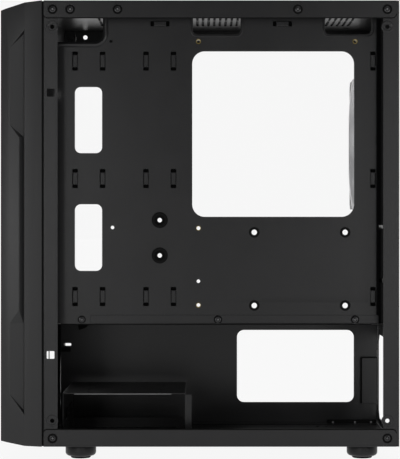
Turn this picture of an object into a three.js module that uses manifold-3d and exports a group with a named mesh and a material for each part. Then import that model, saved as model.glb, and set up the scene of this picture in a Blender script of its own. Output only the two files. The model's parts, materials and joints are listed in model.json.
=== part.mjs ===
// An empty micro-ATX computer tower: folded steel chassis, plastic front bezel, rear fan and feet.
//
// Millimetres. +Z is up, -X is the front, +X the rear, -Y the cable side and +Y the window side.
// The origin is on the ground under the middle of the tower. Both side panels are off.

import * as THREE from "three";
import { mergeVertices } from "three/addons/utils/BufferGeometryUtils.js";
import Module from "manifold-3d";

const wasm = await Module();
wasm.setup();

// ---------------------------------------------------------------- driving dimensions

const WIDTH = 205;
const DEPTH = 332;
const FOOT_HEIGHT = 11.7;
const CHASSIS_HEIGHT = 370.9;
const BEZEL_DEPTH = 34.8;
const SHEET = 0.8;
const GAP = 0.3;

const SIDE = WIDTH / 2;
const REAR = DEPTH / 2;
const FRONT = -DEPTH / 2;
const BOTTOM = FOOT_HEIGHT;
const TOP = FOOT_HEIGHT + CHASSIS_HEIGHT;
const STEEL_FRONT = FRONT + BEZEL_DEPTH + 1.6;

// Rails folded along the long edges of the bottom and top panels.
const RAIL = { bottom: 14, top: 14.1, end: REAR - 2.8, corner: 3 };
// Side flanges of the front and rear panels, tucked just inside the rails.
const FLANGE = { front: 11.6, frontFar: 10, rear: 13.4, y: SIDE - SHEET - GAP };

// Tray that carries the motherboard, 20 mm behind the cable side panel.
const TRAY = { y: -SIDE + 20, bottom: 113.1, bend: 149, joggle: 4.2, bevel: 4.6 };
// Micro-ATX mounting holes, measured from the column nearest the rear and from the top row.
const BOARD = {
  column: 131.1,
  topRow: 350.8,
  columns: [0, 132.08, 204.47],
  rows: [0, 157.48, 203.2, 222.4],
};
// The board's standoffs that are fitted, as [column, row].
const STANDOFF = { places: [[0, 0], [1, 0], [1, 1], [1, 3]], bore: 1.2, radius: 2.9, height: 6.5 };
const CPU_WINDOW = { x: [-6.2, 130.3], z: [202.9, 342.5], corner: 10.5 };
const CABLE_WINDOW = { x: [-105.2, -82.2], rows: [[157.3, 213.5], [256.6, 312.4]], corner: 5 };
const TOP_SLOT = { spans: [[-5.6, 34.5], [105.7, 144.9]], bottom: 356.6, height: 17, corner: 4 };
const CORNER_OPENING = { x: -81.4, bottom: 350.2, corner: 7 };
const TIE = { width: 5, length: 16 };
const TIE_COLUMNS = [-105, -81.8, -45.2, -22, 146.2];
const TIE_ROWS = [135.7, 235.2, 334.2];
const SSD_HOLES = { x: 46.1, z: 128.1, pitchX: 76.6, pitchZ: 61.72, radius: 2.2 };
const GROMMET = { x: -33.6, rows: [170.3, 200.1], outer: 6.7, neck: 5, hole: 1.8, lip: 1.6 };

// Shroud over the power supply and drive bay.
const SHROUD = { top: 112.6, wall: 52.5, window: { x: [34.6, 142.8], z: [32.4, 99.2], corner: 6.5 } };
const CAGE = {
  x: [-116, -12.3],
  y: [-77.5, 22.5],
  top: 53.8,
  flange: 5.5,
  foot: 9,
  lip: { x: [-106.4, -23.5], height: 2.2 },
};

// Openings of the rear panel: I/O shield, four expansion slots and an ATX power supply.
const IO_OPENING = { y: [-77.4, -32.95], z: [198.5, 357.25] };
const SLOT = { count: 4, pitch: 20.32, first: 124.1, y: [-75, 17], height: 13, cover: 18.4 };
const PSU_OPENING = { y: [-94.5, 51.5], z: [18.6, 95.6], chamfer: 7 };

const FAN = { size: 120, thickness: 23.2, y: 33, z: 271.2, bore: 57.5, screws: 105, hub: 20, strut: 3 };
const FRONT_FAN = { radius: 57, rows: [90, 215] };
// Window beside the lower front fan, behind the side panel's latch.
const LATCH_WINDOW = { y: [-86, -54], z: [77, 94] };

const TOP_VENT = { x: [-91.6, 141.6], y: [-13, 63], pitch: 10.6, slot: 5.2 };
const FLOOR_VENT = { x: [30, 118], y: [-60, 4], pitch: 11, slot: 5.5 };
const FOOT = { radius: 12.9, x: [-100.2, 137.1], y: 80.5, chamfer: 2.6 };

// ---------------------------------------------------------------- solids

// A closed geometry as a solid, with its shared vertices merged and its faces pointing out.
function toSolid(geometry) {
  const bare = geometry.clone();
  bare.deleteAttribute("uv");
  bare.deleteAttribute("normal");
  const merged = mergeVertices(bare, 1e-4);
  const index = Array.from(merged.index.array);
  const corners = [];
  for (let i = 0; i < index.length; i += 3) {
    const [a, b, c] = index.slice(i, i + 3);
    if (a !== b && b !== c && c !== a) corners.push(a, b, c);
  }
  const positions = new Float32Array(merged.attributes.position.array);
  if (signedVolume(positions, corners) < 0) corners.reverse();
  return new wasm.Manifold(
    new wasm.Mesh({ numProp: 3, vertProperties: positions, triVerts: new Uint32Array(corners) }),
  );
}

function signedVolume(positions, corners) {
  const at = (i) => new THREE.Vector3().fromArray(positions, i * 3);
  let volume = 0;
  for (let i = 0; i < corners.length; i += 3) {
    volume += at(corners[i]).dot(at(corners[i + 1]).cross(at(corners[i + 2]))) / 6;
  }
  return volume;
}

const fuse = (...solids) => solids.flat().reduce((sum, solid) => sum.add(solid));
const cut = (solid, ...tools) => tools.flat().reduce((rest, tool) => rest.subtract(tool), solid);

function toGeometry(solid) {
  const mesh = solid.getMesh();
  const geometry = new THREE.BufferGeometry();
  geometry.setAttribute("position", new THREE.BufferAttribute(mesh.vertProperties, 3));
  geometry.setIndex(new THREE.BufferAttribute(mesh.triVerts, 1));
  const faceted = geometry.toNonIndexed();
  faceted.computeVertexNormals();
  return faceted;
}

// ---------------------------------------------------------------- outlines

// A rectangle in a plane's two coordinates, its corners rounded by `radius`.
function rectangle([u0, u1], [v0, v1], radius = 0) {
  const path = new THREE.Path();
  if (radius === 0) {
    return path.setFromPoints(points([[u0, v0], [u1, v0], [u1, v1], [u0, v1]]));
  }
  const half = Math.PI / 2;
  path.absarc(u1 - radius, v0 + radius, radius, -half, 0);
  path.absarc(u1 - radius, v1 - radius, radius, 0, half);
  path.absarc(u0 + radius, v1 - radius, radius, half, 2 * half);
  path.absarc(u0 + radius, v0 + radius, radius, 2 * half, 3 * half);
  return path;
}

function circle(u, v, radius, sides = 12) {
  const rim = Array.from({ length: sides }, (_, i) => {
    const angle = ((i + 0.5) * 2 * Math.PI) / sides;
    return [u + radius * Math.cos(angle), v + radius * Math.sin(angle)];
  });
  return new THREE.Path().setFromPoints(points(rim));
}

function points(pairs) {
  return pairs.map(([u, v]) => new THREE.Vector2(u, v));
}

const polygon = (pairs) => new THREE.Path().setFromPoints(points(pairs));

// ---------------------------------------------------------------- plates and turned pieces

const PLANES = {
  XY: [[1, 0, 0], [0, 1, 0], [0, 0, 1]],
  XZ: [[1, 0, 0], [0, 0, 1], [0, -1, 0]],
  YZ: [[0, 1, 0], [0, 0, 1], [1, 0, 0]],
};

// An outline in one plane, drawn out along the plane's normal axis from `start`.
function prism(plane, outline, start, thickness) {
  const shape = new THREE.Shape();
  shape.curves = outline.curves;
  const options = { depth: thickness, bevelEnabled: false, curveSegments: 2 };
  const geometry = new THREE.ExtrudeGeometry(shape, options);
  const axes = PLANES[plane].map((axis) => new THREE.Vector3(...axis));
  geometry.applyMatrix4(new THREE.Matrix4().makeBasis(...axes));
  const offset = plane === "XZ" ? start + thickness : start;
  const normal = { XY: [0, 0, 1], XZ: [0, 1, 0], YZ: [1, 0, 0] }[plane];
  geometry.translate(...normal.map((n) => n * offset));
  return toSolid(geometry);
}

// A flat plate with holes cut right through it.
function plate(plane, outline, start, thickness, holes = []) {
  const cutters = holes.map((hole) => prism(plane, hole, start - 1, thickness + 2));
  return cut(prism(plane, outline, start, thickness), cutters);
}

function box([x0, x1], [y0, y1], [z0, z1]) {
  const geometry = new THREE.BoxGeometry(x1 - x0, y1 - y0, z1 - z0);
  geometry.translate((x0 + x1) / 2, (y0 + y1) / 2, (z0 + z1) / 2);
  return toSolid(geometry);
}

// A turned piece from [radius, height] pairs, its axis along X, Y or Z through `centre`.
function turned(profile, axis, centre, sides = 16) {
  const geometry = new THREE.LatheGeometry(points(profile), sides);
  if (axis === "X") geometry.rotateZ(-Math.PI / 2);
  if (axis === "Z") geometry.rotateX(Math.PI / 2);
  geometry.translate(...centre);
  return toSolid(geometry);
}

// A ring or disc between two heights.
function disc(inner, outer, low, high, axis, centre, sides = 24) {
  const rim = [[outer, low], [outer, high]];
  const profile =
    inner > 0
      ? [[inner, low], ...rim, [inner, high], [inner, low]]
      : [[0, low], ...rim, [0, high]];
  return turned(profile, axis, centre, sides);
}

// A closed skin through rings of equally many points.
function loft(rings) {
  const count = rings[0].length;
  const corners = [];
  for (let r = 0; r < rings.length - 1; r += 1) {
    for (let i = 0; i < count; i += 1) {
      const j = (i + 1) % count;
      corners.push(rings[r][i], rings[r][j], rings[r + 1][j]);
      corners.push(rings[r][i], rings[r + 1][j], rings[r + 1][i]);
    }
  }
  const first = rings[0];
  const last = rings[rings.length - 1];
  for (let i = 1; i < count - 1; i += 1) {
    corners.push(first[0], first[i + 1], first[i]);
    corners.push(last[0], last[i], last[i + 1]);
  }
  const geometry = new THREE.BufferGeometry();
  geometry.setAttribute("position", new THREE.Float32BufferAttribute(corners.flat(), 3));
  return toSolid(geometry);
}

// ---------------------------------------------------------------- finishes

const FINISHES = {
  steel: { color: 0x3b3b3c, roughness: 0.55, metalness: 0.2 },
  bezel: { color: 0x3c3c3d, roughness: 0.5, metalness: 0 },
  plastic: { color: 0x161617, roughness: 0.45, metalness: 0 },
  gloss: { color: 0x0c0c0d, roughness: 0.15, metalness: 0 },
  frosted: { color: 0xb9babb, roughness: 0.5, metalness: 0 },
  rubber: { color: 0x1a1a1a, roughness: 0.85, metalness: 0 },
  brass: { color: 0xb89a52, roughness: 0.3, metalness: 1 },
  bright: { color: 0xb7b8ba, roughness: 0.3, metalness: 1 },
  screw: { color: 0x101011, roughness: 0.35, metalness: 0.6 },
  mesh: { color: 0x202021, roughness: 0.8, metalness: 0 },
  board: { color: 0x16351f, roughness: 0.5, metalness: 0 },
};

const tower = new THREE.Group();

function add(name, finish, solid) {
  const mesh = new THREE.Mesh(toGeometry(solid), new THREE.MeshStandardMaterial(FINISHES[finish]));
  mesh.name = name;
  tower.add(mesh);
}

// ---------------------------------------------------------------- chassis panels

const FLOOR_END = REAR - SHEET - GAP;
const HEAD_RADIUS = 3.4;
const SHANK_RADIUS = 1.6;
const HEAD_CLEARANCE = 4;
// Screws along each rail; the far top rail has a bare hole where the near one has its second.
const RAIL_SCREWS = {
  top: {
    z: TOP - 7.3,
    near: [-122.2, -107.6, -68.2, 81.7, 156],
    far: [-122.2, -68.2, 81.7, 156],
  },
  bottom: { z: BOTTOM + 6.95, near: [-122.2, 156], far: [-122.2, 156] },
};
const BARE_HOLE = { x: -109.3, z: TOP - 6.7, radius: 2.1 };

// One folded rail, standing on edge, with holes for its screws' heads.
function rail(side, z, screws, upper) {
  const places = side < 0 ? screws.near : screws.far;
  const holes = places.map((x) => circle(x, screws.z, HEAD_CLEARANCE));
  if (upper && side > 0) holes.push(circle(BARE_HOLE.x, BARE_HOLE.z, BARE_HOLE.radius));
  const y = side < 0 ? -SIDE : SIDE - SHEET;
  return plate("XZ", railOutline(z, upper), y, SHEET, holes);
}

// The rail's free corners are rounded, on its lower edge for the top rail.
function railOutline([low, high], upper) {
  const r = RAIL.corner;
  const path = new THREE.Path();
  const half = Math.PI / 2;
  if (upper) {
    path.absarc(STEEL_FRONT + r, low + r, r, 2 * half, 3 * half);
    path.absarc(RAIL.end - r, low + r, r, -half, 0);
    path.lineTo(RAIL.end, high);
    path.lineTo(STEEL_FRONT, high);
  } else {
    path.absarc(RAIL.end - r, high - r, r, 0, half);
    path.absarc(STEEL_FRONT + r, high - r, r, half, 2 * half);
    path.lineTo(STEEL_FRONT, low);
    path.lineTo(RAIL.end, low);
  }
  return path;
}

// Parallel slots that run across the case, as holes for a plate.
function ventSlots(vent) {
  const count = Math.floor((vent.x[1] - vent.x[0] - vent.slot) / vent.pitch) + 1;
  return Array.from({ length: count }, (_, i) => {
    const x = vent.x[0] + i * vent.pitch;
    return rectangle([x, x + vent.slot], vent.y);
  });
}

const FILTER = { x: [22, 122.4], y: [-66, 46], thickness: 2.3, runner: 3, grip: 14, tab: 4 };
const FILTER_TOP = BOTTOM - GAP;
const RUNNER_LIP = FILTER_TOP - FILTER.thickness - GAP;

// Angle runner under the floor that holds one edge of the power supply's dust filter.
function filterRunner(side) {
  const edge = side < 0 ? FILTER.x[0] - GAP : FILTER.x[1] + GAP;
  const web = [edge, edge + side * SHEET].sort((a, b) => a - b);
  const lip = [edge + side * SHEET, edge - side * FILTER.runner].sort((a, b) => a - b);
  return fuse(
    box(web, FILTER.y, [RUNNER_LIP - SHEET, BOTTOM + SHEET / 2]),
    box(lip, FILTER.y, [RUNNER_LIP - SHEET, RUNNER_LIP]),
  );
}

function bottomPanel() {
  const outline = rectangle([STEEL_FRONT, FLOOR_END], [-SIDE, SIDE]);
  const floor = plate("XY", outline, BOTTOM, SHEET, ventSlots(FLOOR_VENT));
  const z = [BOTTOM, BOTTOM + RAIL.bottom];
  const rails = [-1, 1].map((side) => rail(side, z, RAIL_SCREWS.bottom, false));
  return fuse(floor, rails, filterRunner(-1), filterRunner(1));
}

function topPanel() {
  const outline = rectangle([STEEL_FRONT, FLOOR_END], [-SIDE, SIDE]);
  const lid = plate("XY", outline, TOP - SHEET, SHEET, ventSlots(TOP_VENT));
  const z = [TOP - RAIL.top, TOP];
  const rails = [-1, 1].map((side) => rail(side, z, RAIL_SCREWS.top, true));
  return fuse(lid, rails);
}

const PANEL_SCREW = { radius: 1.75, rows: [BOTTOM + 21.5, TOP - 21.8], inset: 7.1, rear: 9.9 };
const FLANGE_SLOT = { x: -123.9, rows: [87.9, 306], size: 6.4 };
const FAR_SLOT = { x: [-128.3, -120.7], z: [80, 91] };
const SHANK_CLEARANCE = 2.1;

// Holes of a flange at x: two for the side panel's screws, two for the rail's screw shanks.
function flangeHoles(x) {
  const rails = [RAIL_SCREWS.bottom, RAIL_SCREWS.top];
  const shanks = rails.map(({ near, z }) => {
    return circle(x < 0 ? near[0] : near.at(-1), z, SHANK_CLEARANCE);
  });
  return [...PANEL_SCREW.rows.map((z) => circle(x, z, PANEL_SCREW.radius)), ...shanks];
}

function squareHole(x, z, size) {
  return rectangle([x - size / 2, x + size / 2], [z - size / 2, z + size / 2]);
}

// One side flange of an end panel.
function sideFlange(side, x, holes) {
  const outline = rectangle(x, [BOTTOM + SHEET + GAP, TOP - SHEET - GAP]);
  return plate("XZ", outline, side < 0 ? -FLANGE.y : FLANGE.y - SHEET, SHEET, holes);
}

function frontPanel() {
  const outline = rectangle([-FLANGE.y, FLANGE.y], [BOTTOM + SHEET + GAP, TOP - SHEET - GAP]);
  const fans = FRONT_FAN.rows.map((z) => circle(0, z, FRONT_FAN.radius, 24));
  const holes = [...fans, rectangle(LATCH_WINDOW.y, LATCH_WINDOW.z)];
  const screws = flangeHoles(STEEL_FRONT + PANEL_SCREW.inset);
  const [lower, upper] = FLANGE_SLOT.rows.map((z) => squareHole(FLANGE_SLOT.x, z, FLANGE_SLOT.size));
  const taller = rectangle(FAR_SLOT.x, FAR_SLOT.z);
  return fuse(
    plate("YZ", outline, STEEL_FRONT, SHEET, holes),
    sideFlange(-1, [STEEL_FRONT, STEEL_FRONT + FLANGE.front], [...screws, lower, upper]),
    sideFlange(1, [STEEL_FRONT, STEEL_FRONT + FLANGE.frontFar], [...screws, taller, upper]),
  );
}

// The power supply's opening has chamfered corners.
function psuOpening() {
  const [y0, y1] = PSU_OPENING.y;
  const [z0, z1] = PSU_OPENING.z;
  const c = PSU_OPENING.chamfer;
  return polygon([
    [y0 + c, z0], [y1 - c, z0], [y1, z0 + c], [y1, z1 - c],
    [y1 - c, z1], [y0 + c, z1], [y0, z1 - c], [y0, z0 + c],
  ]);
}

const slotHeights = Array.from({ length: SLOT.count }, (_, i) => SLOT.first + i * SLOT.pitch);

function rearPanel() {
  const slots = slotHeights.map((z) => {
    return rectangle(SLOT.y, [z - SLOT.height / 2, z + SLOT.height / 2]);
  });
  const holes = [
    rectangle(IO_OPENING.y, IO_OPENING.z),
    circle(FAN.y, FAN.z, FAN.bore, 24),
    psuOpening(),
    ...slots,
  ];
  const outline = rectangle([-FLANGE.y, FLANGE.y], [BOTTOM, TOP]);
  const screws = flangeHoles(REAR - PANEL_SCREW.rear);
  return fuse(
    plate("YZ", outline, REAR - SHEET, SHEET, holes),
    [-1, 1].map((side) => sideFlange(side, [REAR - FLANGE.rear, REAR], screws)),
  );
}

// ---------------------------------------------------------------- inner sheet metal

const TRAY_FRONT = STEEL_FRONT + SHEET + GAP;
const TRAY_TOP = TOP - SHEET - GAP;
const TRAY_FLANGE = 10;
const TRAY_SCREWS = { x: [-99.3, 15.5, 131], z: 116.3 };

function boardHole([column, row]) {
  return [BOARD.column - BOARD.columns[column], BOARD.topRow - BOARD.rows[row]];
}

function trayHoles() {
  const ties = TIE_COLUMNS.flatMap((x) => {
    return TIE_ROWS.map((z) => {
      const across = [x - TIE.width / 2, x + TIE.width / 2];
      return rectangle(across, [z - TIE.length / 2, z + TIE.length / 2]);
    });
  });
  const ssd = [0, 1].flatMap((i) => {
    const x = SSD_HOLES.x + i * SSD_HOLES.pitchX;
    return [0, 1].map((j) => circle(x, SSD_HOLES.z + j * SSD_HOLES.pitchZ, SSD_HOLES.radius, 8));
  });
  return [
    ...STANDOFF.places.map((place) => circle(...boardHole(place), STANDOFF.bore, 8)),
    rectangle(CPU_WINDOW.x, CPU_WINDOW.z, CPU_WINDOW.corner),
    ...CABLE_WINDOW.rows.map((z) => rectangle(CABLE_WINDOW.x, z, CABLE_WINDOW.corner)),
    ...TOP_SLOT.spans.map((x) => {
      return rectangle(x, [TOP_SLOT.bottom, TOP_SLOT.bottom + TOP_SLOT.height], TOP_SLOT.corner);
    }),
    ...GROMMET.rows.map((z) => circle(GROMMET.x, z, GROMMET.neck + GAP)),
    ...TRAY_SCREWS.x.map((x) => circle(x, TRAY_SCREWS.z, SHANK_CLEARANCE, 8)),
    ...ssd,
    ...ties,
  ];
}

// The tray's outline leaves out the upper front corner, where the front leads pass.
function trayOutline() {
  const path = new THREE.Path();
  const r = CORNER_OPENING.corner;
  path.moveTo(TRAY_FRONT, TRAY.bottom);
  path.lineTo(TRAY.bend, TRAY.bottom);
  path.lineTo(TRAY.bend, TRAY_TOP);
  path.lineTo(CORNER_OPENING.x, TRAY_TOP);
  path.absarc(CORNER_OPENING.x - r, CORNER_OPENING.bottom + r, r, 0, -Math.PI / 2, true);
  path.lineTo(TRAY_FRONT, CORNER_OPENING.bottom);
  return path;
}

function motherboardTray() {
  const face = plate("XZ", trayOutline(), TRAY.y, SHEET, trayHoles());
  const bent = TRAY.bend + TRAY.bevel;
  const joggle = polygon([
    [TRAY.bend, TRAY.y],
    [bent, TRAY.y + TRAY.joggle],
    [FLOOR_END, TRAY.y + TRAY.joggle],
    [FLOOR_END, TRAY.y + TRAY.joggle + SHEET],
    [bent - GAP, TRAY.y + TRAY.joggle + SHEET],
    [TRAY.bend, TRAY.y + SHEET],
  ]);
  const height = [TRAY.bottom, CORNER_OPENING.bottom];
  return fuse(
    face,
    plate("XY", joggle, TRAY.bottom, TRAY_TOP - TRAY.bottom),
    box([TRAY_FRONT, TRAY_FRONT + SHEET], [TRAY.y - TRAY_FLANGE, TRAY.y + SHEET], height),
    box([CORNER_OPENING.x, TRAY.bend], [TRAY.y, TRAY.y + TRAY_FLANGE], [TRAY_TOP - SHEET, TRAY_TOP]),
  );
}

const SHROUD_FLANGE = { y: TRAY.y + SHEET + GAP, x: [-117, 145], top: 120.1 };
const FRONT_NOTCH = { x: [TRAY_FRONT - 1, -86], y: [-60, 44] };
const WALL_SLOT = { x: [-125.4, -118.9], z: [84.6, 87] };
// Lug folded off the wall's rear edge, flat beside the power supply.
const LUG = { x: [149, 163.4], y: 47.7, z: [31.5, 73.5] };

function psuShroud() {
  const roof = rectangle([TRAY_FRONT, FLOOR_END], [SHROUD_FLANGE.y, SHROUD.wall]);
  const wall = rectangle([TRAY_FRONT, FLOOR_END - 1], [BOTTOM + SHEET + GAP, SHROUD.top]);
  const { x, z, corner } = SHROUD.window;
  const wallHoles = [rectangle(x, z, corner), rectangle(WALL_SLOT.x, WALL_SLOT.z)];
  const flange = rectangle(SHROUD_FLANGE.x, [SHROUD.top - SHEET, SHROUD_FLANGE.top]);
  const screws = TRAY_SCREWS.x.map((at) => circle(at, TRAY_SCREWS.z, SHANK_CLEARANCE, 8));
  const notch = [rectangle(FRONT_NOTCH.x, FRONT_NOTCH.y)];
  return fuse(
    plate("XY", roof, SHROUD.top - SHEET, SHEET, notch),
    plate("XZ", wall, SHROUD.wall - SHEET, SHEET, wallHoles),
    plate("XZ", flange, SHROUD_FLANGE.y, SHEET, screws),
    box(LUG.x, [LUG.y, LUG.y + SHEET], LUG.z),
    box([LUG.x[1] - SHEET, LUG.x[1]], [LUG.y, SHROUD.wall], LUG.z),
  );
}

const CAGE_SLOT = { x: [-103, -26], y: [15.5, 18.5] };
const DRIVE_HOLES = { x: -95.5, pitchX: 61.72, y: -6, radius: 1.8 };

// Open-fronted cage for one 3.5-inch drive, with a drive's screw holes in its roof.
function driveCage() {
  const [x0, x1] = CAGE.x;
  const [y0, y1] = CAGE.y;
  const base = BOTTOM + SHEET + GAP;
  const screws = [DRIVE_HOLES.x, DRIVE_HOLES.x + DRIVE_HOLES.pitchX];
  const holes = [
    rectangle(CAGE_SLOT.x, CAGE_SLOT.y),
    ...screws.map((x) => circle(x, DRIVE_HOLES.y, DRIVE_HOLES.radius, 8)),
  ];
  const { foot, lip } = CAGE;
  return fuse(
    plate("XY", rectangle(CAGE.x, CAGE.y), CAGE.top - SHEET, SHEET, holes),
    box([x0, x0 + SHEET], CAGE.y, [base, CAGE.top]),
    box([x1 - SHEET, x1], CAGE.y, [base, CAGE.top]),
    box([x0, x0 + foot], CAGE.y, [base, base + SHEET]),
    box([x1 - foot, x1], CAGE.y, [base, base + SHEET]),
    box([x1 - SHEET, x1 + CAGE.flange], [y0, y0 + SHEET], [base, CAGE.top]),
    box(lip.x, [y0, y0 + SHEET], [CAGE.top - lip.height, CAGE.top]),
    box([x0, x1], [y1 - SHEET, y1], [base, base + foot]),
  );
}

// ---------------------------------------------------------------- front bezel

const BEZEL = {
  back: FRONT + BEZEL_DEPTH,
  crease: FRONT + 20.6,
  edge: FRONT + 4.6,
  wall: 7,
  creaseDrop: 1.8,
  creaseRise: 0.7,
  taper: 5,
  noseTaper: 7.4,
  edgeDrop: 6.2,
  edgeRise: 3.3,
  noseDrop: 7.6,
  noseRise: 4.1,
};
const RELIEF = {
  shallow: FRONT + 8,
  depth: 4.6,
  step: 0.25,
  wall: 3.4,
  rows: [
    [114.2, FRONT + 8],
    [125.1, FRONT + 15.6],
    [269.3, FRONT + 15.6],
    [279.3, FRONT + 8],
  ],
  ends: [[38.2, 51.3], [358.4, 343.4]],
};

// One cross-section of the bezel, inset from the sides and dropped from the top and bottom.
function bezelRing(x, inset, drop, rise, shrink = 0) {
  const y = SIDE - inset - shrink;
  const low = BOTTOM + rise + shrink;
  const high = TOP - drop - shrink;
  return [[x, -y, low], [x, y, low], [x, y, high], [x, -y, high]];
}

function bezelRings(shrink) {
  const x = (at) => Math.max(at, FRONT + shrink);
  return [
    bezelRing(BEZEL.back + (shrink > 0 ? 1 : 0), 0, 0, 0, shrink),
    bezelRing(BEZEL.crease, 0, BEZEL.creaseDrop, BEZEL.creaseRise, shrink),
    bezelRing(BEZEL.edge, BEZEL.taper, BEZEL.edgeDrop, BEZEL.edgeRise, shrink),
    bezelRing(x(FRONT), BEZEL.noseTaper, BEZEL.noseDrop, BEZEL.noseRise, shrink),
  ];
}

// How far the tapered side lies inside the case's width at x.
const taperAt = (x) => (BEZEL.taper * (BEZEL.crease - x)) / (BEZEL.crease - BEZEL.edge);

// The recess sunk into one tapered side. It slopes down from a long faceted ridge to the crease,
// where it steps back up to the flat of the side, and its two ends are slanting walls.
function reliefCutter(side) {
  const outside = SIDE + 1;
  const section = ([zCrease, zRidge], ridge, depth) => [
    [BEZEL.crease, side * outside, zCrease],
    [BEZEL.crease - RELIEF.step * depth, side * (SIDE - depth), zCrease],
    [ridge, side * (SIDE - taperAt(ridge)), zRidge],
    [ridge, side * outside, zRidge],
  ];
  const [lower, upper] = RELIEF.ends;
  const inner = RELIEF.ends.map(([zCrease, zRidge], i) => {
    const shift = i === 0 ? RELIEF.wall : -RELIEF.wall;
    return [zCrease + shift, zRidge + shift];
  });
  return loft([
    section(lower, RELIEF.shallow, 0),
    section(inner[0], RELIEF.shallow, RELIEF.depth),
    ...RELIEF.rows.map(([z, ridge]) => section([z, z], ridge, RELIEF.depth)),
    section(inner[1], RELIEF.shallow, RELIEF.depth),
    section(upper, RELIEF.shallow, 0),
  ]);
}

const INTAKE = { x: [BEZEL.crease - 2, BEZEL.back - 5.6], height: 22, pitch: 27, first: 61, count: 11 };

// Air intakes along the window side of the bezel.
function intakes() {
  return Array.from({ length: INTAKE.count }, (_, i) => {
    const z = INTAKE.first + i * INTAKE.pitch;
    return box(INTAKE.x, [SIDE - BEZEL.wall - 1, SIDE + 1], [z, z + INTAKE.height]);
  });
}

const IO_HOUSING = { x: [-143.2, -133.8], y: [-52, 52], z: [353.7, 381.1] };

function frontBezel() {
  const { x, y } = IO_HOUSING;
  const shell = cut(loft(bezelRings(0)), reliefCutter(-1), reliefCutter(1));
  const z = [TOP - BEZEL.wall - BEZEL.creaseDrop - 1, TOP + 1];
  const pocket = box([x[0] - GAP, x[1] + GAP], [y[0] - GAP, y[1] + GAP], z);
  return cut(shell, loft(bezelRings(BEZEL.wall)), intakes(), pocket);
}

// ---------------------------------------------------------------- front panel controls

const IO_MIDDLE = (IO_HOUSING.x[0] + IO_HOUSING.x[1]) / 2;
const POWER = { y: 39, width: 18, depth: 7, travel: 1.5 };
const RESET = { y: 15, width: 6, depth: 6, travel: 1.2 };
const USB = { rows: [-2, -18, -34], width: 13.1, depth: 5.7, length: 14, shell: 0.7, tongue: 1.4 };
const JACKS = { rows: [24, -46.2], radius: 3, hole: 1.75, length: 11 };
const LED = { y: 8.5, radius: 1.4 };
const BUTTON_HEIGHT = 4.6;
const BUTTON_PROUD = 0.8;
const BOARD_THICKNESS = 1.6;

// A rectangle about a point of the controls' centre line.
function around(y, depth, width, grow = 0) {
  return {
    x: [IO_MIDDLE - depth / 2 - grow, IO_MIDDLE + depth / 2 + grow],
    y: [y - width / 2 - grow, y + width / 2 + grow],
  };
}

function pocketFor(y, depth, width, below) {
  const at = around(y, depth, width, GAP);
  return box(at.x, at.y, [IO_HOUSING.z[1] - below, IO_HOUSING.z[1] + 2]);
}

function ioHousing() {
  const top = IO_HOUSING.z[1];
  const round = (y, radius, below) => {
    return disc(0, radius + GAP, -below, 2, "Z", [IO_MIDDLE, y, top], 12);
  };
  return cut(
    box(IO_HOUSING.x, IO_HOUSING.y, IO_HOUSING.z),
    pocketFor(POWER.y, POWER.depth, POWER.width, BUTTON_HEIGHT + POWER.travel),
    pocketFor(RESET.y, RESET.depth, RESET.width, BUTTON_HEIGHT + POWER.travel),
    USB.rows.map((y) => pocketFor(y, USB.depth, USB.width, USB.length + GAP)),
    JACKS.rows.map((y) => round(y, JACKS.radius, JACKS.length + GAP)),
    round(LED.y, LED.radius, BUTTON_HEIGHT),
  );
}

function button(spec) {
  const at = around(spec.y, spec.depth, spec.width);
  const top = IO_HOUSING.z[1] + BUTTON_PROUD;
  return box(at.x, at.y, [top - BUTTON_HEIGHT, top]);
}

// A USB socket: a bright shell round a plastic tongue, joined at the closed end.
function usbPort(y) {
  const top = IO_HOUSING.z[1];
  const outer = around(y, USB.depth, USB.width);
  const inner = around(y, USB.depth - 2 * USB.shell, USB.width - 2 * USB.shell);
  const low = top - USB.length;
  const tongue = around(y, USB.tongue, USB.width - 5 * USB.shell);
  const floor = low + 2 * USB.shell;
  return fuse(
    cut(box(outer.x, outer.y, [low, top]), box(inner.x, inner.y, [floor, top + 1])),
    box(tongue.x, tongue.y, [low + USB.shell, top - USB.tongue]),
  );
}

function jack(y) {
  const { radius, hole, length } = JACKS;
  const floor = radius - hole - length;
  const profile = [[0, -length], [radius, -length], [radius, 0], [hole, 0], [hole, floor], [0, floor]];
  return turned(profile, "Z", [IO_MIDDLE, y, IO_HOUSING.z[1]], 12);
}

// ---------------------------------------------------------------- rear fan

const FAN_BACK = REAR - SHEET - GAP;
const FAN_FACE = FAN_BACK - FAN.thickness;
const RING = { outer: 65.5, thickness: 8, proud: 0.9 };
const ROTOR = {
  tip: 55.8,
  cup: 19.5,
  wall: 2,
  blades: 7,
  chord: 26,
  flatten: 0.72,
  thickness: 1.6,
  middle: FAN_FACE + FAN.thickness / 2,
  lean: 0.62,
  twist: 0.35,
  sweep: 0.5,
};

function squareOutline(size, chamfer) {
  const h = size / 2;
  const c = h - chamfer;
  const corners = [[c, -h], [h, -c], [h, c], [c, h], [-c, h], [-h, c], [-h, -c], [-c, -h]];
  return polygon(corners.map(([u, v]) => [FAN.y + u, FAN.z + v]));
}

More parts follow.
